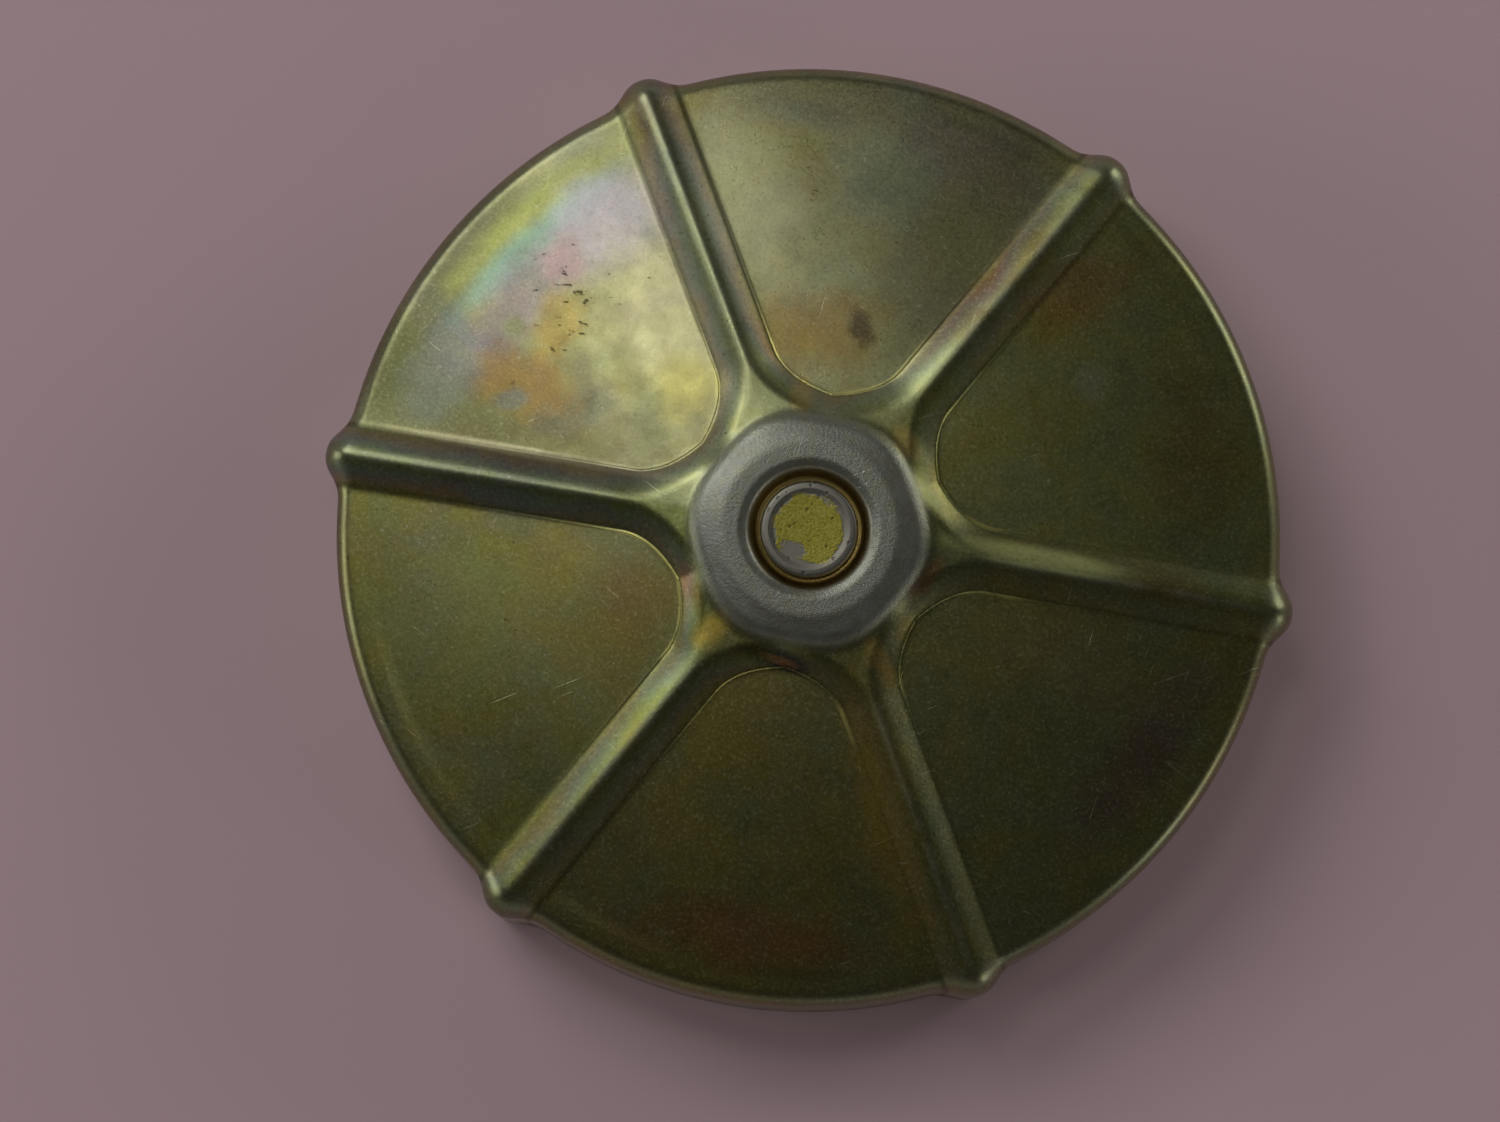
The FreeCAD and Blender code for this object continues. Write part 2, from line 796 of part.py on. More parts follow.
def build_vacuum_valve_spring():
    """Coil spring that holds the button up."""
    return coil_spring("vacuum_valve_spring", size("vacuum_wire_r"), size("vacuum_coil_r"),
                       size("vacuum_coil_height"), size("vacuum_turns"), disc_top_z)


def build_vacuum_valve_clip():
    """Keeper ring pressed on the stem over the spring."""
    return ring("vacuum_valve_clip", size("stem_r"), size("clip_r"), size("clip_thick"), clip_z)


# ---- splash baffle ------------------------------------------------------------------------

def build_splash_baffle():
    """Plate hung under the valves on three riveted legs."""
    body = new_body("splash_baffle", size("baffle_z"), BAFFLE_TURN)
    thick = size("baffle_thick")
    top = seat_z - size("baffle_z")
    root = size("leg_root_r")
    disc = sketch_on(body, "XY_Plane", "baffle_outline")
    circle_at(disc, ZERO, ZERO, size("baffle_r"))
    pad(body, disc, "baffle_disc", thick)
    leg = sketch_on(body, "XZ_Plane", "leg_section")
    corners = [
        (root, ZERO),
        (size("baffle_r"), ZERO),
        (size("baffle_r"), top - thick),
        (size("foot_r"), top - thick),
        (size("foot_r"), top),
        (root, top),
    ]
    outline(leg, corners)
    leg_pad = pad(body, leg, "leg", size("leg_width"), midplane=True)
    polar(body, [leg_pad], "legs", leg, "V_Axis", size("leg_count"))
    doc.recompute()
    hole = sketch_on(body, "XY_Plane", "leg_rivet_outline")
    circle_at(hole, size("small_rivet_ring_r"), ZERO, size("small_rivet_r"))
    hole_cut = pocket_through(body, hole, "leg_rivet_hole")
    polar(body, [hole_cut], "leg_rivet_holes", hole, "N_Axis", size("leg_count"))
    return body


def build_baffle_rivets():
    """Three identical rivets through the baffle's feet and the seat plate."""
    body = new_body("baffle_rivets", ZERO, BAFFLE_TURN)
    middle = size("small_rivet_ring_r")
    shank_r = size("small_rivet_r")
    head_r = size("small_head_r")
    foot_under = seat_z - size("baffle_thick")
    low = foot_under - size("small_head_thick")
    high = seat_top_z + size("small_head_thick")
    rivet = sketch_on(body, "XZ_Plane", "small_rivet_section")
    corners = [
        (middle, low),
        (middle + head_r, low),
        (middle + head_r, foot_under),
        (middle + shank_r, foot_under),
        (middle + shank_r, seat_top_z),
        (middle + head_r, seat_top_z),
        (middle + head_r, high),
        (middle, high),
    ]
    outline(rivet, corners)
    turned = body.newObject("PartDesign::Revolution", "small_rivet")
    turned.Profile = rivet
    turned.ReferenceAxis = (rivet, ["Edge8"])
    turned.Angle = 360.0
    rivet.Visibility = False
    polar(body, [turned], "small_rivets", rivet, "V_Axis", size("leg_count"))
    return body


build_cap_shell()
build_hub_rivet()
build_hub_washer()
build_locking_cup()
build_seal_spring()
build_thrust_ring()
build_gasket_plate()
build_gasket()
build_vent_filter()
build_filter_retainer()
build_valve_seat_plate()
build_seat_plate_gasket()
build_pressure_valve_disc()
build_pressure_valve_seal()
build_pressure_valve_spring()
build_vacuum_valve()
build_vacuum_valve_spring()
build_vacuum_valve_clip()
build_splash_baffle()
build_baffle_rivets()
doc.recompute()

for item in doc.Objects:
    if "Invalid" in item.State or "Error" in item.State:
        raise ValueError(f"{item.Label} did not build: {item.State}")

os.makedirs("parts", exist_ok=True)
for body in bodies:
    if body.Shape.isNull() or not body.Shape.isValid():
        raise ValueError(f"{body.Label} has no valid shape")
    print(body.Label, len(body.Shape.Solids), round(body.Shape.Volume, 2), body.Shape.BoundBox)
    body.Shape.exportStep(f"parts/{body.Label}.step")
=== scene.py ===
"""Shapes and finishes of a vented bayonet filler cap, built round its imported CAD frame.

Sizes in the classes are in millimetres. Meshes are in metres, in the frame's own axes:
origin at the middle of the skirt's bottom edge, +Z up through the hub, a rib along +X.
"""

import logging
import math
from dataclasses import dataclass
from enum import Enum
from typing import Any, Callable, Dict, List, Optional, Sequence, Tuple, Union

import bmesh
import bpy
import numpy as np
from mathutils import Matrix, Vector


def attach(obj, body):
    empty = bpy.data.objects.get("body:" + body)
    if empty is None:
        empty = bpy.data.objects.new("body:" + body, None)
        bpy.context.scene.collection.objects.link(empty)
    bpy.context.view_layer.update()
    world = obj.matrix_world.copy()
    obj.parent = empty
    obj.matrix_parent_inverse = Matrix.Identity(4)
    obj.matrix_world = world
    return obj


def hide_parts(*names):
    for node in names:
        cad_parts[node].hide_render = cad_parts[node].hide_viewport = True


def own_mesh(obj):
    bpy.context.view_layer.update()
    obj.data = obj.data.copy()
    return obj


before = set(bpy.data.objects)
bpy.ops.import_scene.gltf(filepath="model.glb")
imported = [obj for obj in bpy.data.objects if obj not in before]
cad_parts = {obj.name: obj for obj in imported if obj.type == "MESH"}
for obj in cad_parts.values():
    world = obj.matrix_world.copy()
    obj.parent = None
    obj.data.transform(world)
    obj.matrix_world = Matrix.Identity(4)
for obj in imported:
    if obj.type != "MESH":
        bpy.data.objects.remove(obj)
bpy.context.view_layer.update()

log = logging.getLogger("filler_cap")

MM = 0.001
WELD = 1e-8  # metres within which vertices are one
STRAIGHT = 1e-3  # radians by which a corner must turn to be rounded
RIBS = 6
SECTOR = 2.0 * math.pi / RIBS

Colour = Tuple[float, float, float]


# ---- mesh building ------------------------------------------------------------------------


def quads(rows: int, columns: int, wrap_rows: bool) -> np.ndarray:
    """Index the four-cornered faces of a grid of vertices whose rows each close on themselves.

    Args:
        rows: number of rows of vertices.
        columns: number of vertices in a row.
        wrap_rows: whether the last row joins the first.

    Returns:
        An array of faces, four vertex numbers each, wound so that row cross column points out.
    """
    row = np.arange(rows if wrap_rows else rows - 1)[:, None]
    column = np.arange(columns)[None, :]
    below, beside = (row + 1) % rows, (column + 1) % columns
    corners = [
        row * columns + column,
        below * columns + column,
        below * columns + beside,
        row * columns + beside,
    ]
    shape = np.broadcast(row, column).shape
    return np.stack([np.broadcast_to(corner, shape) for corner in corners], -1).reshape(-1, 4)


class MeshParts:
    """Collects several numpy surfaces into one mesh, welded where they meet."""

    def __init__(self) -> None:
        """Start with nothing collected."""
        self.points: List[np.ndarray] = []
        self.faces: List[np.ndarray] = []
        self.count = 0

    def add(self, points: np.ndarray, faces: np.ndarray) -> None:
        """Add one surface.

        Args:
            points: vertices in millimetres, in any leading shape.
            faces: faces as rows of three or four vertex numbers.
        """
        flat = points.reshape(-1, 3)
        self.points.append(flat)
        self.faces.append(faces + self.count)
        self.count += len(flat)

    def grid(self, points: np.ndarray, wrap_rows: bool = False) -> None:
        """Add a grid of vertices as a surface, each row closed on itself.

        Args:
            points: array of rows by columns by three, in millimetres.
            wrap_rows: whether the last row joins the first.
        """
        self.add(points, quads(points.shape[0], points.shape[1], wrap_rows))

    def make(self, name: str, attributes: Optional[Dict[str, np.ndarray]] = None) -> bpy.types.Object:
        """Make the collected surfaces into an object, smooth shaded.

        Args:
            name: the piece's name.
            attributes: numbers to store for each vertex, by attribute name.

        Returns:
            The new object, linked to the scene.
        """
        points = np.concatenate(self.points) * MM
        mesh = bpy.data.meshes.new(name)
        corners = np.concatenate([faces.reshape(-1) for faces in self.faces]).astype(np.int32)
        counts = [np.full(len(faces), faces.shape[1]) for faces in self.faces]
        sides = np.concatenate(counts).astype(np.int32)
        starts = np.concatenate([[0], np.cumsum(sides)[:-1]]).astype(np.int32)
        mesh.vertices.add(len(points))
        mesh.vertices.foreach_set("co", points.astype(np.float32).ravel())
        mesh.loops.add(len(corners))
        mesh.loops.foreach_set("vertex_index", corners)
        mesh.polygons.add(len(sides))
        mesh.polygons.foreach_set("loop_start", starts)
        mesh.polygons.foreach_set("use_smooth", np.ones(len(sides), dtype=bool))
        mesh.update(calc_edges=True)
        for key, numbers in (attributes or {}).items():
            layer = mesh.attributes.new(key, "FLOAT", "POINT")
            layer.data.foreach_set("value", numbers.astype(np.float32).ravel())
        welder = bmesh.new()
        welder.from_mesh(mesh)
        bmesh.ops.remove_doubles(welder, verts=welder.verts, dist=WELD)
        welder.to_mesh(mesh)
        welder.free()
        mesh.validate()
        piece = bpy.data.objects.new(name, mesh)
        bpy.context.scene.collection.objects.link(piece)
        return piece


def rounded(corners: Sequence[Tuple[float, float, float]], steps: int = 5) -> np.ndarray:
    """Round the corners of an open path.

    Each inner corner becomes an arc that touches both of its sides; its third number is the radius.

    Args:
        corners: path corners as (radius from axis, height, rounding).
        steps: number of parts in each arc.

    Returns:
        The path as an array of (radius, height).
    """
    spots = np.array([corner[:2] for corner in corners], dtype=float)
    path = [spots[0]]
    for before, here, after, corner in zip(spots, spots[1:], spots[2:], corners[1:]):
        back = (before - here) / np.linalg.norm(before - here)
        ahead = (after - here) / np.linalg.norm(after - here)
        half = math.acos(float(np.clip(np.dot(back, ahead), -1.0, 1.0))) / 2.0
        if corner[2] <= 0.0 or half > math.pi / 2 - STRAIGHT:
            path.append(here)
            continue
        reach = corner[2] / math.tan(half)
        middle = (back + ahead) / np.linalg.norm(back + ahead)
        centre = here + middle * corner[2] / math.sin(half)
        first = here + back * reach - centre
        last = here + ahead * reach - centre
        share = np.linspace(0.0, 1.0, steps + 1)[:, None]
        angle = math.pi - 2.0 * half
        arc = (np.sin((1 - share) * angle) * first + np.sin(share * angle) * last) / math.sin(angle)
        path.extend(centre + arc)
    path.append(spots[-1])
    return np.array(path)


def lathe(profile: np.ndarray, segments: int) -> np.ndarray:
    """Turn a profile about Z: each point (radius, height) becomes a circle.

    Args:
        profile: path of (radius, height), going so that its left side is outside.
        segments: number of points round the circle.

    Returns:
        Grid of vertices, rows along the profile and columns round the circle.
    """
    turn = np.linspace(0.0, 2.0 * math.pi, segments, endpoint=False)[None, :]
    radius, height = profile[:, :1], profile[:, 1:2]
    return np.stack([radius * np.cos(turn), radius * np.sin(turn), height + 0.0 * turn], axis=-1)


# ---- shader building ----------------------------------------------------------------------


def arithmetic(operation: str, swapped: bool = False) -> Callable[["Wire", Any], "Wire"]:
    """Make an operator's method, which adds a Math node.

    Args:
        operation: the Math node's operation.
        swapped: whether the other value comes before the wire.

    Returns:
        The method, which takes the wire and the other value.
    """
    def method(self: "Wire", other: Any) -> "Wire":
        """Return the result of the operation on self and other."""
        first, second = (other, self) if swapped else (self, other)
        return self.graph.node("ShaderNodeMath", {"operation": operation}, {0: first, 1: second})
    return method


class Wire:
    """One socket that gives a value, with arithmetic written as in Python."""

    __add__ = __radd__ = arithmetic("ADD")
    __sub__ = arithmetic("SUBTRACT")
    __rsub__ = arithmetic("SUBTRACT", swapped=True)
    __mul__ = __rmul__ = arithmetic("MULTIPLY")
    __truediv__ = arithmetic("DIVIDE")
    above = arithmetic("MAXIMUM")
    below = arithmetic("MINIMUM")

    def __init__(self, graph: "Graph", socket: bpy.types.NodeSocket) -> None:
        """Wrap an output socket of a graph's node."""
        self.graph = graph
        self.socket = socket

    def __neg__(self) -> "Wire":
        """Return self times minus one."""
        return self * -1.0

    def __abs__(self) -> "Wire":
        """Return self without its sign."""
        return self.graph.node("ShaderNodeMath", {"operation": "ABSOLUTE"}, {0: self})

    def root(self) -> "Wire":
        """Return the square root."""
        return self.graph.node("ShaderNodeMath", {"operation": "SQRT"}, {0: self})

    def rise(self, low: float, high: float) -> "Wire":
        """Return a smooth step.

        Args:
            low: the value at which the step is 0.
            high: the value at which it is 1; when it is under low, the step falls instead.

        Returns:
            The step, from 0 to 1.
        """
        inputs = {"Value": self, "From Min": low, "From Max": high}
        if low > high:
            inputs = {"Value": -self, "From Min": -low, "From Max": -high}
        return self.graph.node("ShaderNodeMapRange", {"interpolation_type": "SMOOTHSTEP"}, inputs)


class Graph:
    """A material's or a world's node tree, written as expressions."""

    def __init__(self, name: str, tree: Optional[bpy.types.NodeTree] = None) -> None:
        """Make an empty material, or empty the given tree.

        Args:
            name: the new material's name.
            tree: a node tree to fill instead.
        """
        if tree is None:
            self.material = bpy.data.materials.new(name)
            self.material.use_nodes = True
            tree = self.material.node_tree
        self.tree = tree
        self.tree.nodes.clear()

    def node(self, kind: str, settings: Optional[Dict[str, Any]] = None,
             inputs: Optional[Dict[Any, Any]] = None, output: Union[int, str] = 0) -> Wire:
        """Make any node.

        Args:
            kind: the node's type.
            settings: properties to set first; "stops" gives a ramp's (place, colour) pairs.
            inputs: socket names or numbers, each with a value or a Wire.
            output: the socket to return.

        Returns:
            The chosen output socket.
        """
        made = self.tree.nodes.new(kind)
        for key, value in (settings or {}).items():
            if key == "stops":
                self._ramp(made.color_ramp, value)
            else:
                setattr(made, key, value)
        for key, value in (inputs or {}).items():
            if isinstance(value, Wire):
                self.tree.links.new(value.socket, made.inputs[key])
            else:
                made.inputs[key].default_value = value
        return Wire(self, made.outputs[output])

    @staticmethod
    def _ramp(ramp: bpy.types.ColorRamp, stops: Sequence[Tuple[float, Colour]]) -> None:
        """Set a ramp's stops.

        Args:
            ramp: the ramp to fill.
            stops: (place, colour) pairs, in order.
        """
        while len(ramp.elements) > 1:
            ramp.elements.remove(ramp.elements[-1])
        ramp.elements[0].position = stops[0][0]
        ramp.elements[0].color = (*linear(stops[0][1]), 1.0)
        for place, colour in stops[1:]:
            ramp.elements.new(place).color = (*linear(colour), 1.0)

    def place(self) -> Wire:
        """Return the point's Object coordinates in millimetres."""
        metres = self.node("ShaderNodeTexCoord", output="Object")
        return self.scaled(metres, 1.0 / MM)

    def scaled(self, vector: Wire, factor: float) -> Wire:
        """Return a vector times a number."""
        return self.node("ShaderNodeVectorMath", {"operation": "SCALE"}, {0: vector, "Scale": factor})

    def stretched(self, vector: Wire, factors: Colour) -> Wire:
        """Return a vector with each part times its own number."""
        return self.node("ShaderNodeVectorMath", {"operation": "MULTIPLY"}, {0: vector, 1: factors})

    def parts(self, vector: Wire) -> Tuple[Wire, Wire, Wire]:
        """Return a vector's three parts."""
        split = self.node("ShaderNodeSeparateXYZ", None, {0: vector})
        outputs = split.socket.node.outputs
        return Wire(self, outputs[0]), Wire(self, outputs[1]), Wire(self, outputs[2])

    def noise(self, vector: Wire, size: float, detail: float = 3.0, rough: float = 0.5,
              twist: float = 0.0) -> Wire:
        """Return fractal noise, 0 to 1, whose largest lumps are about size millimetres."""
        inputs = {"Vector": vector, "Scale": 1.0 / size, "Detail": detail, "Roughness": rough,
                  "Distortion": twist}
        return self.node("ShaderNodeTexNoise", None, inputs)

    def cells(self, vector: Wire, size: float) -> Wire:
        """Return the distance to the nearest of scattered points about size millimetres apart."""
        return self.node("ShaderNodeTexVoronoi", None, {"Vector": vector, "Scale": 1.0 / size})

    def attribute(self, name: str) -> Wire:
        """Return a number stored on the mesh."""
        return self.node("ShaderNodeAttribute", {"attribute_name": name}, output="Fac")

    def mix(self, factor: Any, first: Any, second: Any) -> Wire:
        """Blend two colours.

        Args:
            factor: 0 for the first colour, 1 for the second.
            first: a display colour or a Wire.
            second: a display colour or a Wire.

        Returns:
            The blended colour.
        """
        settings = {"data_type": "RGBA", "clamp_factor": True}
        inputs = {0: factor, 6: as_rgba(first), 7: as_rgba(second)}
        return self.node("ShaderNodeMix", settings, inputs, 2)

    def ramp(self, factor: Wire, stops: Sequence[Tuple[float, Colour]]) -> Wire:
        """Return a colour looked up along stops."""
        return self.node("ShaderNodeValToRGB", {"stops": stops}, {0: factor})

    def bump(self, height: Wire, depth: float, base: Optional[Wire] = None) -> Wire:
        """Push the normal by a height field.

        Args:
            height: the field, 0 to 1.
            depth: how many millimetres its full range stands for.
            base: a normal to start from.

        Returns:
            The pushed normal.
        """
        inputs: Dict[Any, Any] = {"Strength": 1.0, "Distance": depth * MM, "Height": height}
        if base is not None:
            inputs["Normal"] = base
        return self.node("ShaderNodeBump", None, inputs)

    def finish(self, **sockets: Any) -> bpy.types.Material:
        """Put values on the surface shader and close the material.

        Args:
            sockets: values of shader inputs, by their names with _ for a space.

        Returns:
            The finished material.
        """
        inputs = {key.replace("_", " "): value for key, value in sockets.items()}
        shader = self.node("ShaderNodeBsdfPrincipled", None, inputs)
        self.node_output(shader)
        return self.material

    def node_output(self, shader: Wire) -> None:
        """Join the shader to the material's output."""
        output = self.tree.nodes.new("ShaderNodeOutputMaterial")
        self.tree.links.new(shader.socket, output.inputs["Surface"])


def linear(colour: Colour) -> Colour:
    """Turn a display colour into scene-linear values.

    Args:
        colour: three channels, 0 to 255.

    Returns:
        Three channels, 0 to 1, by the sRGB curve.
    """
    def one(value: float) -> float:
        """Turn one channel."""
        share = value / 255.0
        return share / 12.92 if share <= 0.04045 else ((share + 0.055) / 1.055) ** 2.4
    return one(colour[0]), one(colour[1]), one(colour[2])


def as_rgba(colour: Any) -> Any:
    """Give a display colour its alpha and leave a Wire as it is."""
    return colour if isinstance(colour, Wire) else (*linear(colour), 1.0)


# ---- finishes -----------------------------------------------------------------------------


@dataclass(frozen=True)
class Patch:
    """A soft-edged patch of colour on the shell's top: one of the stains, or painted light or shade.

    radius and angle place its centre, as polar_spot does. spread holds its half-widths along and
    across a line turned by lean degrees; without a lean the line runs straight out from the axis.
    """

    radius: float
    angle: float
    spread: Tuple[float, float]
    lean: Optional[float]
    colour: Colour
    strength: float
    ragged: float

    def mask(self, x: Wire, y: Wire, rag: Wire) -> Wire:
        """Work out where the patch lies: distance in half-widths, with a ragged edge.

        Args:
            x: the point's X, in millimetres.
            y: the point's Y, in millimetres.
            rag: noise that moves the edge in and out.

        Returns:
            The patch's strength inside it, falling to 0 outside.
        """
        middle_x, middle_y = polar_spot(self.radius, self.angle)
        lean = math.radians(self.angle + VIEW_TURN if self.lean is None else self.lean)
        along = (math.cos(lean), math.sin(lean))
        u = ((x - middle_x) * along[0] + (y - middle_y) * along[1]) / self.spread[0]
        v = ((y - middle_y) * along[0] - (x - middle_x) * along[1]) / self.spread[1]
        away = (u * u + v * v).root() + (rag - 0.5) * (2.0 * self.ragged)
        return away.rise(1.25, 0.35) * self.strength


VIEW_TURN = 9.7  # degrees by which the cap is turned clockwise in the main view

# Panels are numbered by the angle of their middle line in the frame's own axes.
# Each tint is the panel's olive with painted light: lighter on the upper left and top panels, which face
# the key light, darker on the lower right and bottom.
PANEL_TINTS_AND_PAINTED_LIGHT: Dict[int, Colour] = {
    30: (132, 136, 80),
    90: (162, 166, 118),
    150: (170, 174, 126),
    210: (126, 130, 70),
    270: (116, 113, 64),
    330: (116, 117, 72),
}


def polar_spot(radius: float, view_angle: float) -> Tuple[float, float]:
    """Return a point of the top from its radius and its angle as it lies in the main view."""
    turn = math.radians(view_angle + VIEW_TURN)
    return radius * math.cos(turn), radius * math.sin(turn)


STAINS_AND_PAINTED_LIGHT: Tuple[Patch, ...] = (
    # upper left panel: painted shade by the left rib and rim, painted highlights near the hub and upper
    # rib, film colour bands, worn orange patches
    Patch(27.0, 158, (13.0, 7.0), None, (98, 102, 68), 0.8, 0.5),
    Patch(34.0, 148, (2.6, 13.0), None, (84, 98, 66), 0.85, 0.4),
    Patch(32.6, 131, (1.8, 10.0), None, (160, 172, 88), 0.7, 0.5),
    Patch(31.0, 133, (1.6, 9.0), None, (118, 172, 158), 0.75, 0.5),
    Patch(28.6, 124, (4.4, 5.5), None, (204, 198, 208), 0.7, 0.5),
    Patch(28.6, 141, (2.8, 8.0), None, (138, 130, 140), 0.75, 0.6),
    Patch(28.2, 131, (2.0, 2.6), 30, (196, 154, 158), 0.45, 1.2),
    Patch(31.0, 156, (3.0, 5.0), None, (120, 134, 128), 0.7, 0.6),
    Patch(19.5, 124, (8.5, 4.5), None, (208, 206, 156), 0.75, 0.5),
    Patch(14.6, 131, (3.0, 3.0), 0, (210, 204, 112), 0.7, 0.6),
    Patch(25.4, 141, (3.4, 2.0), 70, (168, 142, 68), 0.65, 1.3),
    Patch(24.6, 152, (4.6, 2.9), 165, (148, 124, 58), 0.8, 1.2),
    Patch(25.1, 156, (1.6, 0.9), 20, (112, 120, 108), 0.9, 1.2),
    Patch(27.9, 145, (1.1, 1.1), 0, (134, 146, 92), 0.6, 0.4),
    # top panel: painted highlight by the upper rib, painted shade by the rim and to the right
    Patch(26.0, 62, (12.0, 6.5), None, (122, 124, 84), 0.75, 0.6),
    Patch(34.0, 80, (2.8, 18.0), None, (122, 126, 92), 0.75, 0.5),
    Patch(27.0, 100, (7.5, 5.0), 110, (196, 200, 152), 0.6, 0.6),
    Patch(15.8, 88, (4.8, 3.4), 10, (160, 134, 68), 0.75, 1.0),
    Patch(16.4, 76, (1.1, 1.6), 40, (56, 54, 44), 0.75, 1.3),
    Patch(31.5, 66, (3.5, 6.0), 70, (118, 108, 104), 0.45, 0.7),
    # upper right panel
    Patch(24.6, 28, (1.7, 1.7), 0, (142, 146, 118), 0.7, 0.3),
    Patch(28.0, 42, (5.0, 3.5), 40, (140, 104, 44), 0.55, 1.0),
    Patch(30.5, 12, (4.0, 8.0), 12, (112, 104, 66), 0.5, 0.8),
    # lower right panel
    Patch(31.0, 325, (3.0, 9.0), None, (104, 80, 80), 0.55, 0.8),
    Patch(22.0, 334, (8.0, 3.5), 345, (140, 132, 88), 0.4, 0.8),
    # bottom panel
    Patch(22.0, 286, (11.0, 2.6), 292, (160, 138, 56), 0.55, 0.9),
    Patch(31.5, 262, (2.8, 10.0), 270, (138, 84, 54), 0.5, 0.8),
    # round the hub: gold painted highlights at the rib roots, brown patches, and below the hub a painted
    # shade with a brown painted reflection along it
    Patch(10.3, 93, (1.6, 1.0), None, (214, 186, 96), 0.7, 0.8),
    Patch(10.1, 42, (1.5, 1.0), 130, (206, 182, 104), 0.7, 0.8),
    Patch(11.0, 225, (2.2, 1.1), None, (212, 182, 80), 0.7, 0.8),
    Patch(11.3, 298, (2.4, 0.9), None, (186, 158, 76), 0.7, 0.8),
    Patch(9.7, 337, (2.2, 0.8), 60, (132, 96, 56), 0.7, 0.8),
    Patch(10.0, 204, (2.4, 0.8), 295, (140, 98, 44), 0.7, 0.8),
    Patch(10.3, 257, (3.3, 0.9), -8.0, (40, 34, 20), 0.95, 0.4),
    Patch(10.3, 257, (1.7, 0.4), -8.0, (150, 102, 52), 0.8, 0.3),
    # ribs: a painted highlight along a crease of the left one, a brown flank on the upper right one,
    # a painted highlight on a flank and a brown end on the right one
    Patch(22.0, 164.2, (12.0, 0.5), 169.3 + VIEW_TURN, (218, 214, 172), 0.8, 0.3),
    Patch(24.0, 53.5, (9.0, 1.4), 49.3 + VIEW_TURN, (104, 76, 40), 0.75, 0.6),
    Patch(18.5, 353.0, (7.5, 1.0), 349.3 + VIEW_TURN, (240, 246, 160), 0.95, 0.3),
    Patch(27.5, 351.0, (4.0, 1.8), 349.3 + VIEW_TURN, (124, 104, 56), 0.6, 0.8),
    # lower left panel
    Patch(19.5, 186, (4.6, 2.6), 190, (142, 136, 72), 0.7, 1.0),
    Patch(14.6, 204, (4.5, 3.6), 240, (132, 106, 54), 0.55, 0.9),
    Patch(28.0, 194, (7.0, 6.0), 190, (138, 146, 96), 0.5, 0.8),
)

# dark marks gather here; only its mask is used
SCUFF = Patch(26.0, 137, (6.5, 4.6), 60, (0, 0, 0), 1.0, 1.0)

FILM: Tuple[Tuple[float, Colour], ...] = (
    (0.0, (168, 164, 112)),
    (0.25, (188, 180, 92)),
    (0.40, (196, 156, 86)),
    (0.50, (192, 138, 142)),
    (0.60, (158, 148, 180)),
    (0.70, (140, 178, 176)),
    (0.82, (164, 188, 110)),
    (1.0, (196, 184, 112)),
)


def scratches(graph: Graph, spot: Wire) -> Wire:
    """Make thin straight marks: noise drawn out along three directions, kept near its peaks.

    Args:
        graph: the material's graph.
        spot: the point, in millimetres.

    Returns:
        1 on a mark and 0 beside it.
    """
    total: Optional[Wire] = None
    for turn, gate_size in ((0.5, 7.0), (1.7, 9.0), (2.6, 6.0)):
        turned = graph.node("ShaderNodeVectorRotate", {"rotation_type": "Z_AXIS"},
                            {"Vector": spot, "Angle": turn})
        drawn = graph.stretched(turned, (0.2, 4.0, 0.2))
        line = graph.noise(drawn, 1.0, 1.0, 0.5).rise(0.72, 0.77)
        gate = graph.noise(turned, gate_size, 1.0, 0.5).rise(0.52, 0.64)
        mark = line * gate
        total = mark if total is None else total.above(mark)
    return total


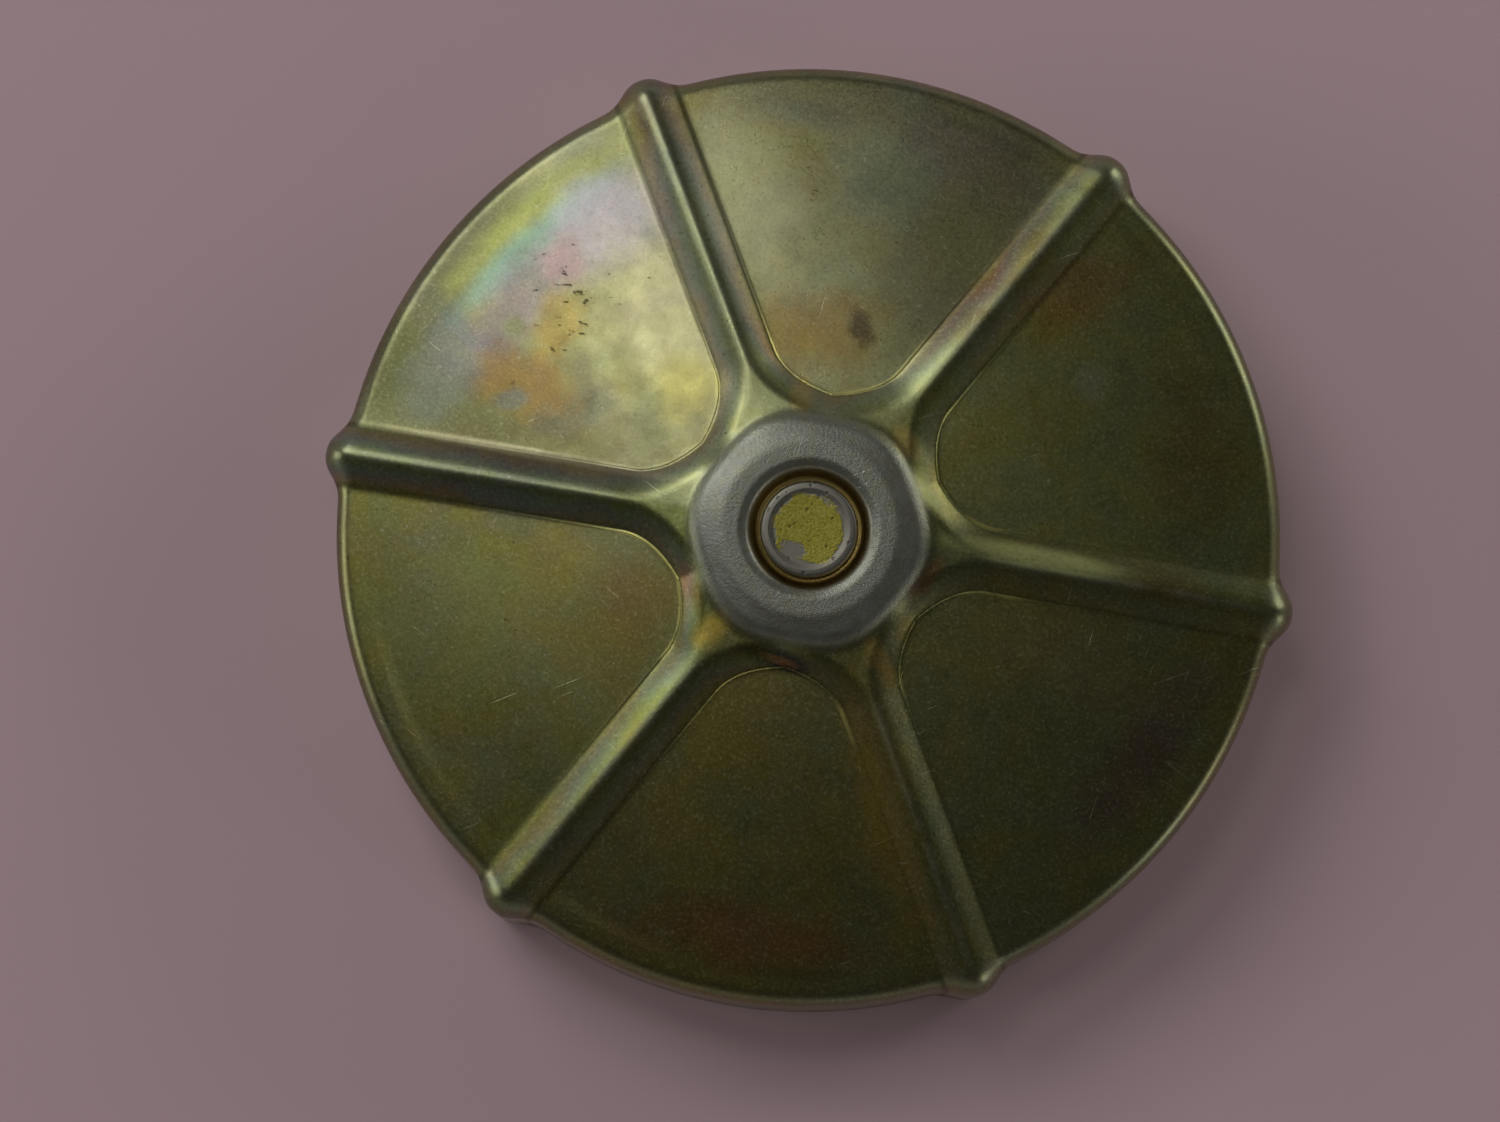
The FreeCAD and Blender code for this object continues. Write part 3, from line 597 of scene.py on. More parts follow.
@dataclass(frozen=True)
class YellowZinc:
    """Yellow-passivated zinc on drawn sheet: olive film with stains and painted light and shade, worn grey
    on the hub.
    """

    worn: Colour = (148, 150, 140)
    # dirt: also the colour of the painted shade in the creases and the dimple's moat
    dirt: Colour = (44, 36, 24)
    roughness: float = 0.31

    def material(self) -> bpy.types.Material:
        """Build the material from panel tints, stains, painted highlights and shade, film colours, wear,
        dirt and scratches.

        Returns:
            The finished material.
        """
        graph = Graph("yellow_zinc")
        spot = graph.place()
        x, y, z = graph.parts(spot)
        radius = (x * x + y * y).root()
        lift = graph.attribute("lift")
        outside = self.outside_panel(graph, x, y, radius)
        rag = graph.noise(spot, 5.0, 7.0, 0.68)
        fine = graph.noise(spot, 0.26, 3.0, 0.75)
        mottle = graph.noise(spot, 2.2, 4.0, 0.6)

        colour = graph.mix(mottle, (98, 96, 52), (124, 122, 68))
        # panel tints, partly painted light: lighter toward the key light on the upper left
        for angle, tint in PANEL_TINTS_AND_PAINTED_LIGHT.items():
            turn = math.radians(angle)
            facing = (x * math.cos(turn) + y * math.sin(turn)) / radius.above(1.0)
            near = facing.rise(math.cos(math.radians(33.0)), math.cos(math.radians(27.0)))
            colour = graph.mix(near, colour, tint)
        drift = graph.noise(spot, 6.5, 5.0, 0.62, 0.5)
        colour = graph.mix(drift.rise(0.45, 0.66) * 0.42, colour, (106, 120, 92))
        colour = graph.mix(drift.rise(0.52, 0.34) * 0.42, colour, (138, 126, 50))
        # stains, with painted highlights and painted shade among them
        for tone_patch in STAINS_AND_PAINTED_LIGHT:
            colour = graph.mix(tone_patch.mask(x, y, rag), colour, tone_patch.colour)

        # film colours drift with a slow noise, strongest on the rib flanks and upper left
        thickness = graph.noise(spot, 9.0, 3.0, 0.5, 0.6) * 0.9 + lift * 0.35 + mottle * 0.2
        film = graph.ramp(thickness - 0.1, FILM)
        turn = math.radians(141.0 + VIEW_TURN)
        toward = (x * math.cos(turn) + y * math.sin(turn)).rise(-16.0, 24.0)
        flank = lift.rise(0.03, 0.3) * lift.rise(0.98, 0.7)
        share = (flank * 0.16 + 0.10) * (toward * 0.9 + 0.2)
        colour = graph.mix(share, colour, film)

        speck = graph.noise(spot, 0.8, 2.0, 0.5)
        colour = graph.mix(mottle.rise(0.35, 0.75) * 0.17, colour, (92, 88, 48))
        colour = graph.mix(fine.rise(0.5, 0.72) * 0.24, colour, (206, 204, 160))
        colour = graph.mix(fine.rise(0.5, 0.3) * 0.26, colour, (70, 66, 40))

        # the skirt: fine upright lines from drawing, and a greener tone low down
        skirt = radius.rise(35.6, 36.3) * z.rise(12.6, 11.0)
        drawn = graph.noise(graph.stretched(spot, (1.0, 1.0, 0.08)), 0.3, 3.0, 0.65)
        colour = graph.mix(skirt * 0.5, colour, (130, 138, 74))
        colour = graph.mix(skirt * drawn.rise(0.45, 0.7) * 0.16, colour, (190, 186, 132))
        colour = graph.mix(skirt * drawn.rise(0.5, 0.3) * 0.12, colour, (70, 60, 34))

        # rubbed high places: hub crown, rib crests and rim
        hub = radius.rise(10.0, 9.0) * z.rise(16.2, 17.2)
        crest = lift.rise(0.88, 1.0) * radius.rise(12.0, 17.0)
        rim = radius.rise(35.2, 36.2)
        rubbed = (hub * (0.86 + (speck - 0.5) * 0.9)).above(crest * mottle.rise(0.3, 0.6) * 0.3)
        rubbed = rubbed.above(rim * 0.25)
        colour = graph.mix(rubbed, colour, self.worn)

        # painted shade in the creases and the dimple's moat, dirt smudges and dark pits
        dashes = graph.noise(graph.stretched(spot, (1.0, 2.2, 1.0)), 0.9, 2.0, 0.6)
        scuffed = SCUFF.mask(x, y, rag)
        pits = (dashes + scuffed * 0.06).rise(0.69, 0.77) * rag.rise(0.44, 0.6).above(scuffed)
        straight = abs(outside).rise(0.35, 0.05) * radius.rise(15.0, 19.0)
        moat = radius.rise(4.9, 4.3) * radius.rise(3.6, 3.9)
        grime_and_shade = (straight * 0.4).above(pits * 0.6).above(moat * 0.1)
        colour = graph.mix(grime_and_shade, colour, self.dirt)
        # painted reflection: a gold tint in the dimple's moat
        colour = graph.mix(moat * 0.6, colour, (190, 156, 84))
        # painted highlight: thin bright yellow lines along the panels' inner creases near the hub, broken
        # by noise
        line = abs(outside + 0.08).rise(0.24, 0.04) * radius.rise(19.0, 13.0)
        gate = graph.noise(spot, 6.0, 2.0, 0.5).rise(0.44, 0.62)
        colour = graph.mix(line * gate * 0.65, colour, (226, 218, 130))

        glint = graph.noise(spot, 0.35, 1.0, 0.5).rise(0.70, 0.76)
        colour = graph.mix(glint * 0.16, colour, (236, 234, 216))
        marks = scratches(graph, spot)
        colour = graph.mix(marks * 0.3, colour, (220, 214, 184))

        rough = (fine - 0.5) * 0.12 + (mottle - 0.5) * 0.16 + self.roughness
        rough = rough + grime_and_shade * 0.25 + hub * 0.09 - marks * 0.05
        relief = fine * 0.6 + mottle * 0.4
        edge = outside.rise(0.12, -0.12) * radius.rise(34.0, 14.0)
        normal = graph.bump(relief * (hub * 3.0 + 1.0) - marks * 0.3 - pits * 0.5, 0.012)
        normal = graph.bump(edge, 0.05, normal)
        return graph.finish(Base_Color=colour, Metallic=1.0, Roughness=rough, Normal=normal)

    @staticmethod
    def outside_panel(graph: Graph, x: Wire, y: Wire, radius: Wire) -> Wire:
        """Work out the distance outside the panels' outline, as DrawnShell.outside_panel does.

        Args:
            graph: the material's graph.
            x: the point's X, in millimetres.
            y: the point's Y, in millimetres.
            radius: the point's distance from the axis.

        Returns:
            The distance in millimetres, negative inside a panel.
        """
        shell = DrawnShell()
        angle = graph.node("ShaderNodeMath", {"operation": "ARCTAN2"}, {0: y, 1: x})
        away = graph.node("ShaderNodeMath", {"operation": "PINGPONG"}, {0: angle, 1: SECTOR / 2.0})
        beside = radius * graph.node("ShaderNodeMath", {"operation": "SINE"}, {0: away})
        first = shell.panel_corner_r + shell.rib_half_width - beside
        second = shell.panel_corner_r + shell.hub_foot_r - radius
        square = first.above(0.0) * first.above(0.0) + second.above(0.0) * second.above(0.0)
        return square.root() + first.above(second).below(0.0) - shell.panel_corner_r


@dataclass(frozen=True)
class RivetZinc:
    """Dull zinc on the rivet's head: grey flat ring round a yellow-green textured middle."""

    grey: Colour = (150, 148, 136)
    green: Colour = (150, 142, 50)
    roughness: float = 0.42

    def material(self) -> bpy.types.Material:
        """Build the material from a ragged-edged middle and pits.

        Returns:
            The finished material.
        """
        graph = Graph("rivet_zinc")
        spot = graph.place()
        x, y, z = graph.parts(spot)
        radius = (x * x + y * y).root()
        rag = graph.noise(spot, 1.1, 4.0, 0.65)
        grain = graph.noise(spot, 0.22, 3.0, 0.7)
        middle = (radius + (rag - 0.5) * 2.4).rise(2.9, 2.5) * z.rise(16.4, 16.6)
        notch_x, notch_y = polar_spot(2.1, 237)
        from_notch = ((x - notch_x) * (x - notch_x) + (y - notch_y) * (y - notch_y)).root()
        middle = middle * (from_notch + (rag - 0.5) * 2.2).rise(0.75, 1.0)
        yellow = graph.mix(grain.rise(0.3, 0.75), self.green, (188, 182, 92))
        colour = graph.mix(middle, graph.mix(grain, (128, 124, 112), self.grey), yellow)
        pits = graph.cells(spot, 0.9).rise(0.2, 0.1)
        colour = graph.mix(pits * 0.5, colour, (50, 46, 34))
        rough = self.roughness + (grain - 0.5) * 0.25
        normal = graph.bump(grain * middle - pits * 0.6, 0.02)
        return graph.finish(Base_Color=colour, Metallic=1.0, Roughness=rough, Normal=normal)


@dataclass(frozen=True)
class SatinMetal:
    """Plated or bare metal with fine grain, cloudy tarnish, scratches and a little dirt."""

    name: str
    base: Colour
    tarnish: Colour
    roughness: float = 0.36
    grain_size: float = 0.3
    dirt: float = 0.3
    film: float = 0.0

    def material(self) -> bpy.types.Material:
        """Build the material: tarnish and film colours over the base, flecks, grain and marks.

        Returns:
            The finished material.
        """
        graph = Graph(self.name)
        spot = graph.place()
        grain = graph.noise(spot, self.grain_size, 3.0, 0.7)
        cloud = graph.noise(spot, 6.0, 4.0, 0.55)
        fleck = graph.noise(spot, 0.9, 3.0, 0.6)
        colour = graph.mix(cloud.rise(0.38, 0.66), self.base, self.tarnish)
        film = graph.ramp(graph.noise(spot, 8.0, 3.0, 0.5, 0.6) * 1.3 - 0.15, FILM)
        colour = graph.mix(self.film, colour, film)
        colour = graph.mix(fleck.rise(0.60, 0.78) * self.dirt, colour, (48, 42, 32))
        colour = graph.mix(grain.rise(0.5, 0.75) * 0.2, colour, (226, 224, 214))
        marks = scratches(graph, spot)
        colour = graph.mix(marks * 0.4, colour, (232, 230, 222))
        rough = self.roughness + (grain - 0.5) * 0.2 + (cloud - 0.5) * 0.2 + fleck.rise(0.58, 0.74) * 0.2
        normal = graph.bump(grain - marks * 0.6, 0.012)
        return graph.finish(Base_Color=colour, Metallic=1.0, Roughness=rough, Normal=normal)


@dataclass(frozen=True)
class SoftSheet:
    """Matt sheet material with granules: nitrile-cork, rubber, fibre or foam."""

    name: str
    base: Colour
    granule: Colour
    granule_size: float
    amount: float
    depth: float
    roughness: float = 0.78

    def material(self) -> bpy.types.Material:
        """Build the material: scattered granules, fine grain and a slow change of tone.

        Returns:
            The finished material.
        """
        graph = Graph(self.name)
        spot = graph.place()
        cell = graph.cells(spot, self.granule_size)
        grain = graph.noise(spot, self.granule_size * 0.4, 4.0, 0.65)
        slow = graph.noise(spot, self.granule_size * 8.0, 3.0, 0.5)
        mask = (cell + (grain - 0.5) * 0.3).rise(0.42, 0.22) * self.amount
        colour = graph.mix(mask, self.base, self.granule)
        colour = graph.mix(slow.rise(0.4, 0.7) * 0.25, colour, (20, 18, 16))
        rough = self.roughness + (grain - 0.5) * 0.2
        normal = graph.bump(grain + mask * 0.5, self.depth)
        return graph.finish(Base_Color=colour, Roughness=rough, Normal=normal)


class Finish(Enum):
    """The finishes of the cap's pieces."""

    SHELL = YellowZinc()
    RIVET = RivetZinc()
    CUP = SatinMetal("pale_yellow_zinc", (170, 162, 104), (152, 142, 90), 0.32, film=0.22)
    RING = SatinMetal("clear_zinc", (154, 156, 152), (138, 138, 130), 0.36, film=0.05)
    VALVE = SatinMetal("valve_zinc", (158, 159, 152), (142, 141, 130), 0.33, film=0.06)
    SPRING = SatinMetal("spring_steel", (120, 120, 124), (88, 84, 80), 0.28, 0.2)
    BRASS = SatinMetal("turned_brass", (200, 164, 92), (160, 122, 60), 0.26, 0.15)
    GASKET = SoftSheet("cork_rubber", (38, 33, 28), (86, 62, 40), 0.9, 0.55, 0.05)
    RUBBER = SoftSheet("valve_rubber", (24, 24, 25), (34, 34, 35), 0.4, 0.3, 0.01, 0.6)
    FIBRE = SoftSheet("red_fibre", (110, 52, 38), (132, 70, 50), 0.5, 0.5, 0.02)
    FOAM = SoftSheet("filter_foam", (62, 62, 64), (20, 20, 21), 0.6, 0.9, 0.25, 0.9)


class Workshop:
    """Builds each finish once and dresses pieces with it."""

    def __init__(self) -> None:
        """Start with no materials made."""
        self.made: Dict[Finish, bpy.types.Material] = {}

    def dress(self, piece: bpy.types.Object, finish: Finish) -> None:
        """Give a piece one finish all over.

        Args:
            piece: the piece to dress.
            finish: its finish, built the first time that it is used.
        """
        if finish not in self.made:
            self.made[finish] = finish.value.material()
        piece.data.materials.clear()
        piece.data.materials.append(self.made[finish])
        first_slot = np.zeros(len(piece.data.polygons), dtype=np.int32)
        piece.data.polygons.foreach_set("material_index", first_slot)

    def fit(self, piece: bpy.types.Object, finish: Finish, body: str, node: str) -> None:
        """Dress a piece, ride it on its body and let it stand for its CAD node.

        Args:
            piece: the new piece, already in place.
            finish: its finish.
            body: the CAD body that it moves with.
            node: the CAD node that it stands for.
        """
        self.dress(piece, finish)
        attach(piece, body)
        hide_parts(node)
        log.info("%s: %d faces, stands for %s", piece.name, len(piece.data.polygons), node)

    def keep(self, node: str, finish: Finish) -> None:
        """Keep a CAD node as it is and dress it."""
        self.dress(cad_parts[node], finish)
        log.info("%s: CAD shape kept", node)


# ---- outer shell --------------------------------------------------------------------------


def smooth_floor(value: np.ndarray, softness: float) -> np.ndarray:
    """Return value where positive and nearly 0 elsewhere, rounded over softness."""
    return 0.5 * (value + np.sqrt(value * value + softness * softness))


def smooth_top(first: np.ndarray, second: np.ndarray, softness: float) -> np.ndarray:
    """Return the larger of two surfaces, with their meeting rounded over softness."""
    return 0.5 * (first + second + np.sqrt((first - second) ** 2 + softness * softness))


def smooth_step(value: np.ndarray, low: float, high: float) -> np.ndarray:
    """Return 0 below low and 1 above high, along the curve 3s2 - 2s3 between."""
    share = np.clip((value - low) / (high - low), 0.0, 1.0)
    return share * share * (3.0 - 2.0 * share)


@dataclass
class DrawnShell:
    """The drawn sheet-steel shell: domed panels, ribs, hub, lugs, rolled rim and skirt."""

    wall: float = 0.8
    bore_r: float = 2.4
    dome_r: float = 344.0
    hub_foot_r: float = 10.6
    hub_foot_z: float = 15.6
    panel_corner_r: float = 3.8
    rib_half_width: float = 2.4
    rib_slope: float = 0.5
    rib_crown: float = 0.32
    crease_softness: float = 0.10
    roll_r: float = 1.35
    roll_centre_r: float = 35.25
    lug_roll_r: float = 2.2
    lug_r: float = 38.0
    skirt_foot_r: float = 36.8
    lug_half_width: float = 2.0
    foot_round: float = 0.15
    top_r: float = 34.0
    roll_start: float = 84.1
    hub_facet: float = 0.018
    hub_blend: float = 0.22
    rib_columns: int = 10
    panel_columns: int = 44
    hub_corners: Tuple[Tuple[float, float, float], ...] = (
        (2.0, 16.1, 0.0),
        (4.15, 16.1, 0.35),
        (4.75, 17.2, 0.35),
        (5.4, 17.41, 0.9),
        (6.8, 17.4, 3.0),
        (8.5, 17.08, 2.0),
        (9.3, 16.5, 0.8),
        (10.6, 15.5, 0.3),
        (12.0, 12.0, 0.0),
    )

    @property
    def rib_height(self) -> float:
        """Height of a rib's crest over the panels: sqrt((slope x half width)^2 + crown^2) - crown."""
        return math.hypot(self.rib_slope * self.rib_half_width, self.rib_crown) - self.rib_crown

    def dome(self, radius: np.ndarray) -> np.ndarray:
        """Panel height: a sphere's cap that falls with the square of the radius."""
        return self.hub_foot_z - (radius ** 2 - self.hub_foot_r ** 2) / (2.0 * self.dome_r)

    def angles(self, radius: np.ndarray) -> np.ndarray:
        """Angle of every column at each radius.

        Columns over a rib keep their distance from its middle line, so that the creases follow
        the mesh; the others share out the panel, closer together beside the creases.

        Args:
            radius: radii, one for each row.

        Returns:
            Angles, rows by columns, over the full circle.
        """
        held = np.maximum(radius, self.hub_foot_r)[:, None]
        offset = np.linspace(0.0, self.rib_half_width, self.rib_columns + 1)[None, :]
        out = np.arcsin(offset / held)
        share = np.arange(1, self.panel_columns)[None, :] / self.panel_columns
        share = share - 0.6 * np.sin(2.0 * math.pi * share) / (2.0 * math.pi)
        crease = out[:, -1:]
        panel = crease + (SECTOR - 2.0 * crease) * share
        back = SECTOR - out[:, :0:-1]
        sector = np.concatenate([out, panel, back], axis=1)
        starts = (np.arange(RIBS) * SECTOR)[None, :, None]
        return (sector[:, None, :] + starts).reshape(len(radius), -1)

    def beside_rib(self, radius: np.ndarray, angle: np.ndarray) -> np.ndarray:
        """Distance of each point from the nearest rib's middle line."""
        away = np.abs((angle + SECTOR / 2.0) % SECTOR - SECTOR / 2.0)
        return radius * np.sin(away)

    def outside_panel(self, radius: np.ndarray, angle: np.ndarray) -> np.ndarray:
        """Distance outside the panels, negative inside them.

        A panel is bounded by two creases parallel to its ribs and by a circle round the hub, with
        its two inner corners rounded: both distances are taken from lines moved in by the corner
        radius, joined as a circle where both are passed.

        Args:
            radius: radii of the points.
            angle: their angles.

        Returns:
            The distances.
        """
        from_crease = self.beside_rib(radius, angle) - self.rib_half_width
        from_hub = radius - self.hub_foot_r
        first = self.panel_corner_r - from_crease
        second = self.panel_corner_r - from_hub
        both = np.hypot(np.maximum(first, 0.0), np.maximum(second, 0.0))
        joined = np.where((first > 0.0) & (second > 0.0), both, np.maximum(first, second))
        return joined - self.panel_corner_r

    def rib_rise(self, radius: np.ndarray, angle: np.ndarray) -> np.ndarray:
        """Rise over the panel: two straight flanks that meet in a small rounded crown.

        Args:
            radius: radii of the points.
            angle: their angles.

        Returns:
            The rises, 0 in a panel and rib_height on a crest.
        """
        inward = smooth_floor(self.outside_panel(radius, angle), self.crease_softness)
        short = np.maximum(self.rib_half_width - inward, 0.0)
        return self.rib_height - (np.hypot(self.rib_slope * short, self.rib_crown) - self.rib_crown)

    def hub_height(self, radius: np.ndarray, angle: np.ndarray, wall: float) -> np.ndarray:
        """Height of the hub's ring, slightly six-sided, its corners toward the ribs.

        Args:
            radius: radii of the points.
            angle: their angles.
            wall: distance under the outer face.

        Returns:
            The heights, read along the ring's rounded path.
        """
        path = rounded(self.hub_corners, 8)
        if wall > 0.0:
            along = np.gradient(path, axis=0)
            along /= np.linalg.norm(along, axis=1, keepdims=True)
            path = path + wall * np.stack([along[:, 1], -along[:, 0]], axis=1)
            path[:, 0] = np.maximum.accumulate(path[:, 0])
        corner = 1.0 + self.hub_facet * np.cos(RIBS * angle) * smooth_step(radius, 6.6, 8.6)
        return np.interp(radius / corner, path[:, 0], path[:, 1])

    def top_rows(self, radius: np.ndarray, wall: float) -> Tuple[np.ndarray, np.ndarray]:
        """Points of the top at the given radii, and the rib's share there.

        Height is the dome plus the larger of the rib's rise and the hub's rise. Under the sheet
        (wall above 0) the dome and ribs are lower by the wall.

        Args:
            radius: radii, one for each row.
            wall: distance under the outer face, 0 for the outer face.

        Returns:
            Grid of points, and a grid of the rib's rise as a share of its crest.
        """
        angle = self.angles(radius)
        spread = radius[:, None] + 0.0 * angle
        rise = self.rib_rise(spread, angle) * smooth_step(spread, 7.4, 9.2)
        dome = self.dome(spread) - wall
        hub = np.where(spread < 12.0, self.hub_height(spread, angle, wall) - dome, -9.0)
        height = dome + np.where(spread < 13.0, smooth_top(rise, hub, self.hub_blend), rise)
        height = height + self.waviness(spread, angle) * smooth_step(spread, 10.0, 14.0)
        points = np.stack([spread * np.cos(angle), spread * np.sin(angle), height], axis=-1)
        return points, rise / self.rib_height

    @staticmethod
    def waviness(radius: np.ndarray, angle: np.ndarray) -> np.ndarray:
        """Slight unevenness of hand-fed drawn sheet: a few long, low waves."""
        x, y = radius * np.cos(angle), radius * np.sin(angle)
        return 0.02 * np.sin(x / 5.1 + 0.7) * np.cos(y / 6.3 - 0.4) + 0.012 * np.sin((x + 1.3 * y) / 3.7)

    def edge_paths(self, wall: float, steps: Tuple[int, int, int]) -> Tuple[np.ndarray, np.ndarray]:
        """Paths from the last top row over the rim and down the skirt.

        Each runs out along the dome, round a quarter circle and down to the foot; one is for the
        panels and one for a lug's crest.

        Args:
            wall: distance under the outer face.
            steps: number of points along the dome, round the roll and down the skirt.

        Returns:
            Two arrays of (radius, height), point for point.
        """
        lean = math.radians(self.roll_start)
        paths = []
        for centre_r, roll, rise, foot_r in (
            (self.roll_centre_r, self.roll_r, 0.0, self.skirt_foot_r - wall),
            (self.lug_r - self.lug_roll_r, self.lug_roll_r, self.rib_height, self.lug_r - wall),
        ):
            touch_r = centre_r + roll * math.cos(lean)
            touch_z = float(self.dome(np.array(touch_r))) + rise
            centre_z = touch_z - roll * math.sin(lean)
            inner_roll = roll - wall
            low = math.radians(1.0) if rise == 0.0 else 0.0
            out_r = np.linspace(self.top_r, centre_r + inner_roll * math.cos(lean), steps[0] + 1)[1:-1]
            out_z = self.dome(out_r) + rise - wall
            turn = np.linspace(lean, low, steps[1])
            arc_r = centre_r + inner_roll * np.cos(turn)
            arc_z = centre_z + inner_roll * np.sin(turn)
            foot = self.foot_round if wall == 0.0 else 0.0
            down = np.linspace(0.0, 1.0, steps[2] + 1)[1:]
            down_r = arc_r[-1] + (foot_r - arc_r[-1]) * down
            down_z = arc_z[-1] + (foot - arc_z[-1]) * down
            path = np.stack([np.concatenate([out_r, arc_r, down_r]),
                             np.concatenate([out_z, arc_z, down_z])], axis=1)
            if wall == 0.0:
                bend = np.linspace(0.0, math.pi / 2, 4)[1:]
                corner_r = foot_r - foot * (1.0 - np.cos(bend))
                corner_z = foot - foot * np.sin(bend)
                path = np.concatenate([path, np.stack([corner_r, corner_z], axis=1)])
            paths.append(path)
        return paths[0], paths[1]

    def edge_rows(self, wall: float, steps: Tuple[int, int, int]) -> Tuple[np.ndarray, np.ndarray]:
        """Points of the rim and skirt, and the lug's share there.

        Each point lies between the panel's path and the lug's crest path, by a share that changes
        over the roll from the rib's cross-section to a lug's bell: exp(-(offset / half width)^2.6).

        Args:
            wall: distance under the outer face.
            steps: number of points along the dome, round the roll and down the skirt.

        Returns:
            Grid of points, and a grid of the share.
        """
        low, high = self.edge_paths(wall, steps)
        angle = self.angles(low[:, 0])
        spread = low[:, :1] + 0.0 * angle
        rib = self.rib_rise(spread, angle) / self.rib_height
        bell = np.exp(-((self.beside_rib(spread, angle) / self.lug_half_width) ** 2.6))
        rows = np.arange(len(low), dtype=float)[:, None]
        over = smooth_step(rows, steps[0] - 1.0, steps[0] + steps[1] * 0.8)
        share = rib + (bell - rib) * over
        radius = low[:, :1] + share * (high[:, :1] - low[:, :1])
        height = low[:, 1:] + share * (high[:, 1:] - low[:, 1:])
        points = np.stack([radius * np.cos(angle), radius * np.sin(angle), height], axis=-1)
        return points, share

    def radii(self, spans: Sequence[Tuple[float, float, int]]) -> np.ndarray:
        """Radii of the top rows: each span (from, to, count) without its end, then the last end."""
        pieces = [np.linspace(first, last, count, endpoint=False) for first, last, count in spans]
        return np.concatenate(pieces + [np.array([spans[-1][1]])])

    def make(self) -> bpy.types.Object:
        """Build the shell as one closed sheet, outer face then inner face.

        Returns:
            The shell, with the rib's share stored on each vertex as lift.
        """
        outer_r = self.radii([
            (self.bore_r, 4.0, 4),
            (4.0, 10.9, 46),
            (10.9, 16.0, 26),
            (16.0, self.top_r, 26),
        ])
        inner_r = self.radii([(self.bore_r, 12.0, 16), (12.0, self.top_r, 16)])
        top, top_lift = self.top_rows(outer_r, 0.0)
        edge, edge_lift = self.edge_rows(0.0, (5, 13, 12))
        under_edge, under_edge_lift = self.edge_rows(self.wall, (3, 6, 6))
        under, under_lift = self.top_rows(inner_r, self.wall)
        points = np.concatenate([top, edge, under_edge[::-1], under[::-1]])
        lift = np.concatenate([top_lift, edge_lift, under_edge_lift[::-1], under_lift[::-1]])
        parts = MeshParts()
        parts.grid(points, wrap_rows=True)
        return parts.make("shell_sheet", {"lift": lift})

    def build(self, workshop: Workshop) -> None:
        """Build and fit the shell."""
        workshop.fit(self.make(), Finish.SHELL, "cap", "cap_shell")


@dataclass
class HubRivet:
    """The rivet that holds the shell and cup together: head, shank and clinched tail."""

    head_r: float = 3.75
    head_top: float = 16.9
    head_foot: float = 16.12
    shank_r: float = 2.38
    tail_r: float = 3.4
    tail_top: float = 13.8
    tail_foot: float = 12.8

    def build(self, workshop: Workshop) -> None:
        """Turn the rivet's profile: a low raised edge round a very slightly sunk middle.

        Args:
            workshop: what dresses and fits the piece.
        """
        profile = rounded([
            (0.0, self.head_top - 0.10, 0.0),
            (2.75, self.head_top - 0.08, 0.4),
            (3.15, self.head_top, 0.2),
            (self.head_r, self.head_top - 0.02, 0.3),
            (self.head_r, self.head_foot, 0.08),
            (self.shank_r, self.head_foot, 0.0),
            (self.shank_r, self.tail_top, 0.0),
            (self.tail_r, self.tail_top, 0.25),
            (self.tail_r - 0.3, self.tail_foot, 0.3),
            (0.0, self.tail_foot, 0.0),
        ])
        parts = MeshParts()
        parts.grid(lathe(profile, 128))
        workshop.fit(parts.make("rivet_turned"), Finish.RIVET, "cap", "hub_rivet")


# ---- springs ------------------------------------------------------------------------------


@dataclass
class CoilSpring:
    """A round-wire compression spring with closed ends, standing on its foot.
    """

    node: str
    body: str
    joint: str
    wire_r: float
    coil_r: float
    foot_z: float
    top_z: float
    turns: float
    travel: float
    anchor_z: float
    closed_turns: float = 0.8
    blend_turns: float = 0.5
    steps_per_turn: int = 36
    sides: int = 12

    def path(self) -> Tuple[np.ndarray, np.ndarray]:
        """Angle and height of the wire's middle line.

        The wire climbs by its own thickness in each closed turn and faster between them; the
        climb is summed and scaled to the spring's height.

        Returns:
            Two arrays, angle and height, point for point.
        """
        turn = np.linspace(0.0, self.turns, int(self.turns * self.steps_per_turn) + 1)
        rise = self.top_z - self.foot_z - 2.0 * self.wire_r
        closed = 2.0 * self.wire_r
        open_turns = self.closed_turns + self.blend_turns
        free = (smooth_step(turn, self.closed_turns, open_turns)
                * smooth_step(self.turns - turn, self.closed_turns, open_turns))
        closed_climb = np.gradient(turn).cumsum() * closed
        free_climb = (np.gradient(turn) * free).cumsum()
        scale = (rise - (closed_climb[-1] - closed_climb[0])) / (free_climb[-1] - free_climb[0])
        climb = closed_climb - closed_climb[0] + (free_climb - free_climb[0]) * scale
        return 2.0 * math.pi * turn, self.foot_z + self.wire_r + climb

    def make(self) -> bpy.types.Object:
        """Build the wire: a circle carried along the path, closed by a flat disc at each end.

        Returns:
            The spring.
        """
        angle, height = self.path()
        angle = np.concatenate([angle[:1], angle, angle[-1:]])
        height = np.concatenate([height[:1], height, height[-1:]])
        around = np.linspace(0.0, 2.0 * math.pi, self.sides, endpoint=False)[None, :]
        thick = np.full((len(angle), 1), self.wire_r)
        thick[[0, -1]] = 0.0
        reach = self.coil_r + thick * np.cos(around)
        turn = angle[:, None]
        level = height[:, None] + thick * np.sin(around)
        parts = MeshParts()
        parts.grid(np.stack([reach * np.cos(turn), reach * np.sin(turn), level], axis=-1))
        return parts.make(f"{self.node}_coil")

    def build(self, workshop: Workshop) -> None:
        """Build and fit the spring.

        Args:
            workshop: what dresses and fits the piece.
        """
        piece = self.make()
        workshop.fit(piece, Finish.SPRING, self.body, self.node)
        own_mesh(piece)


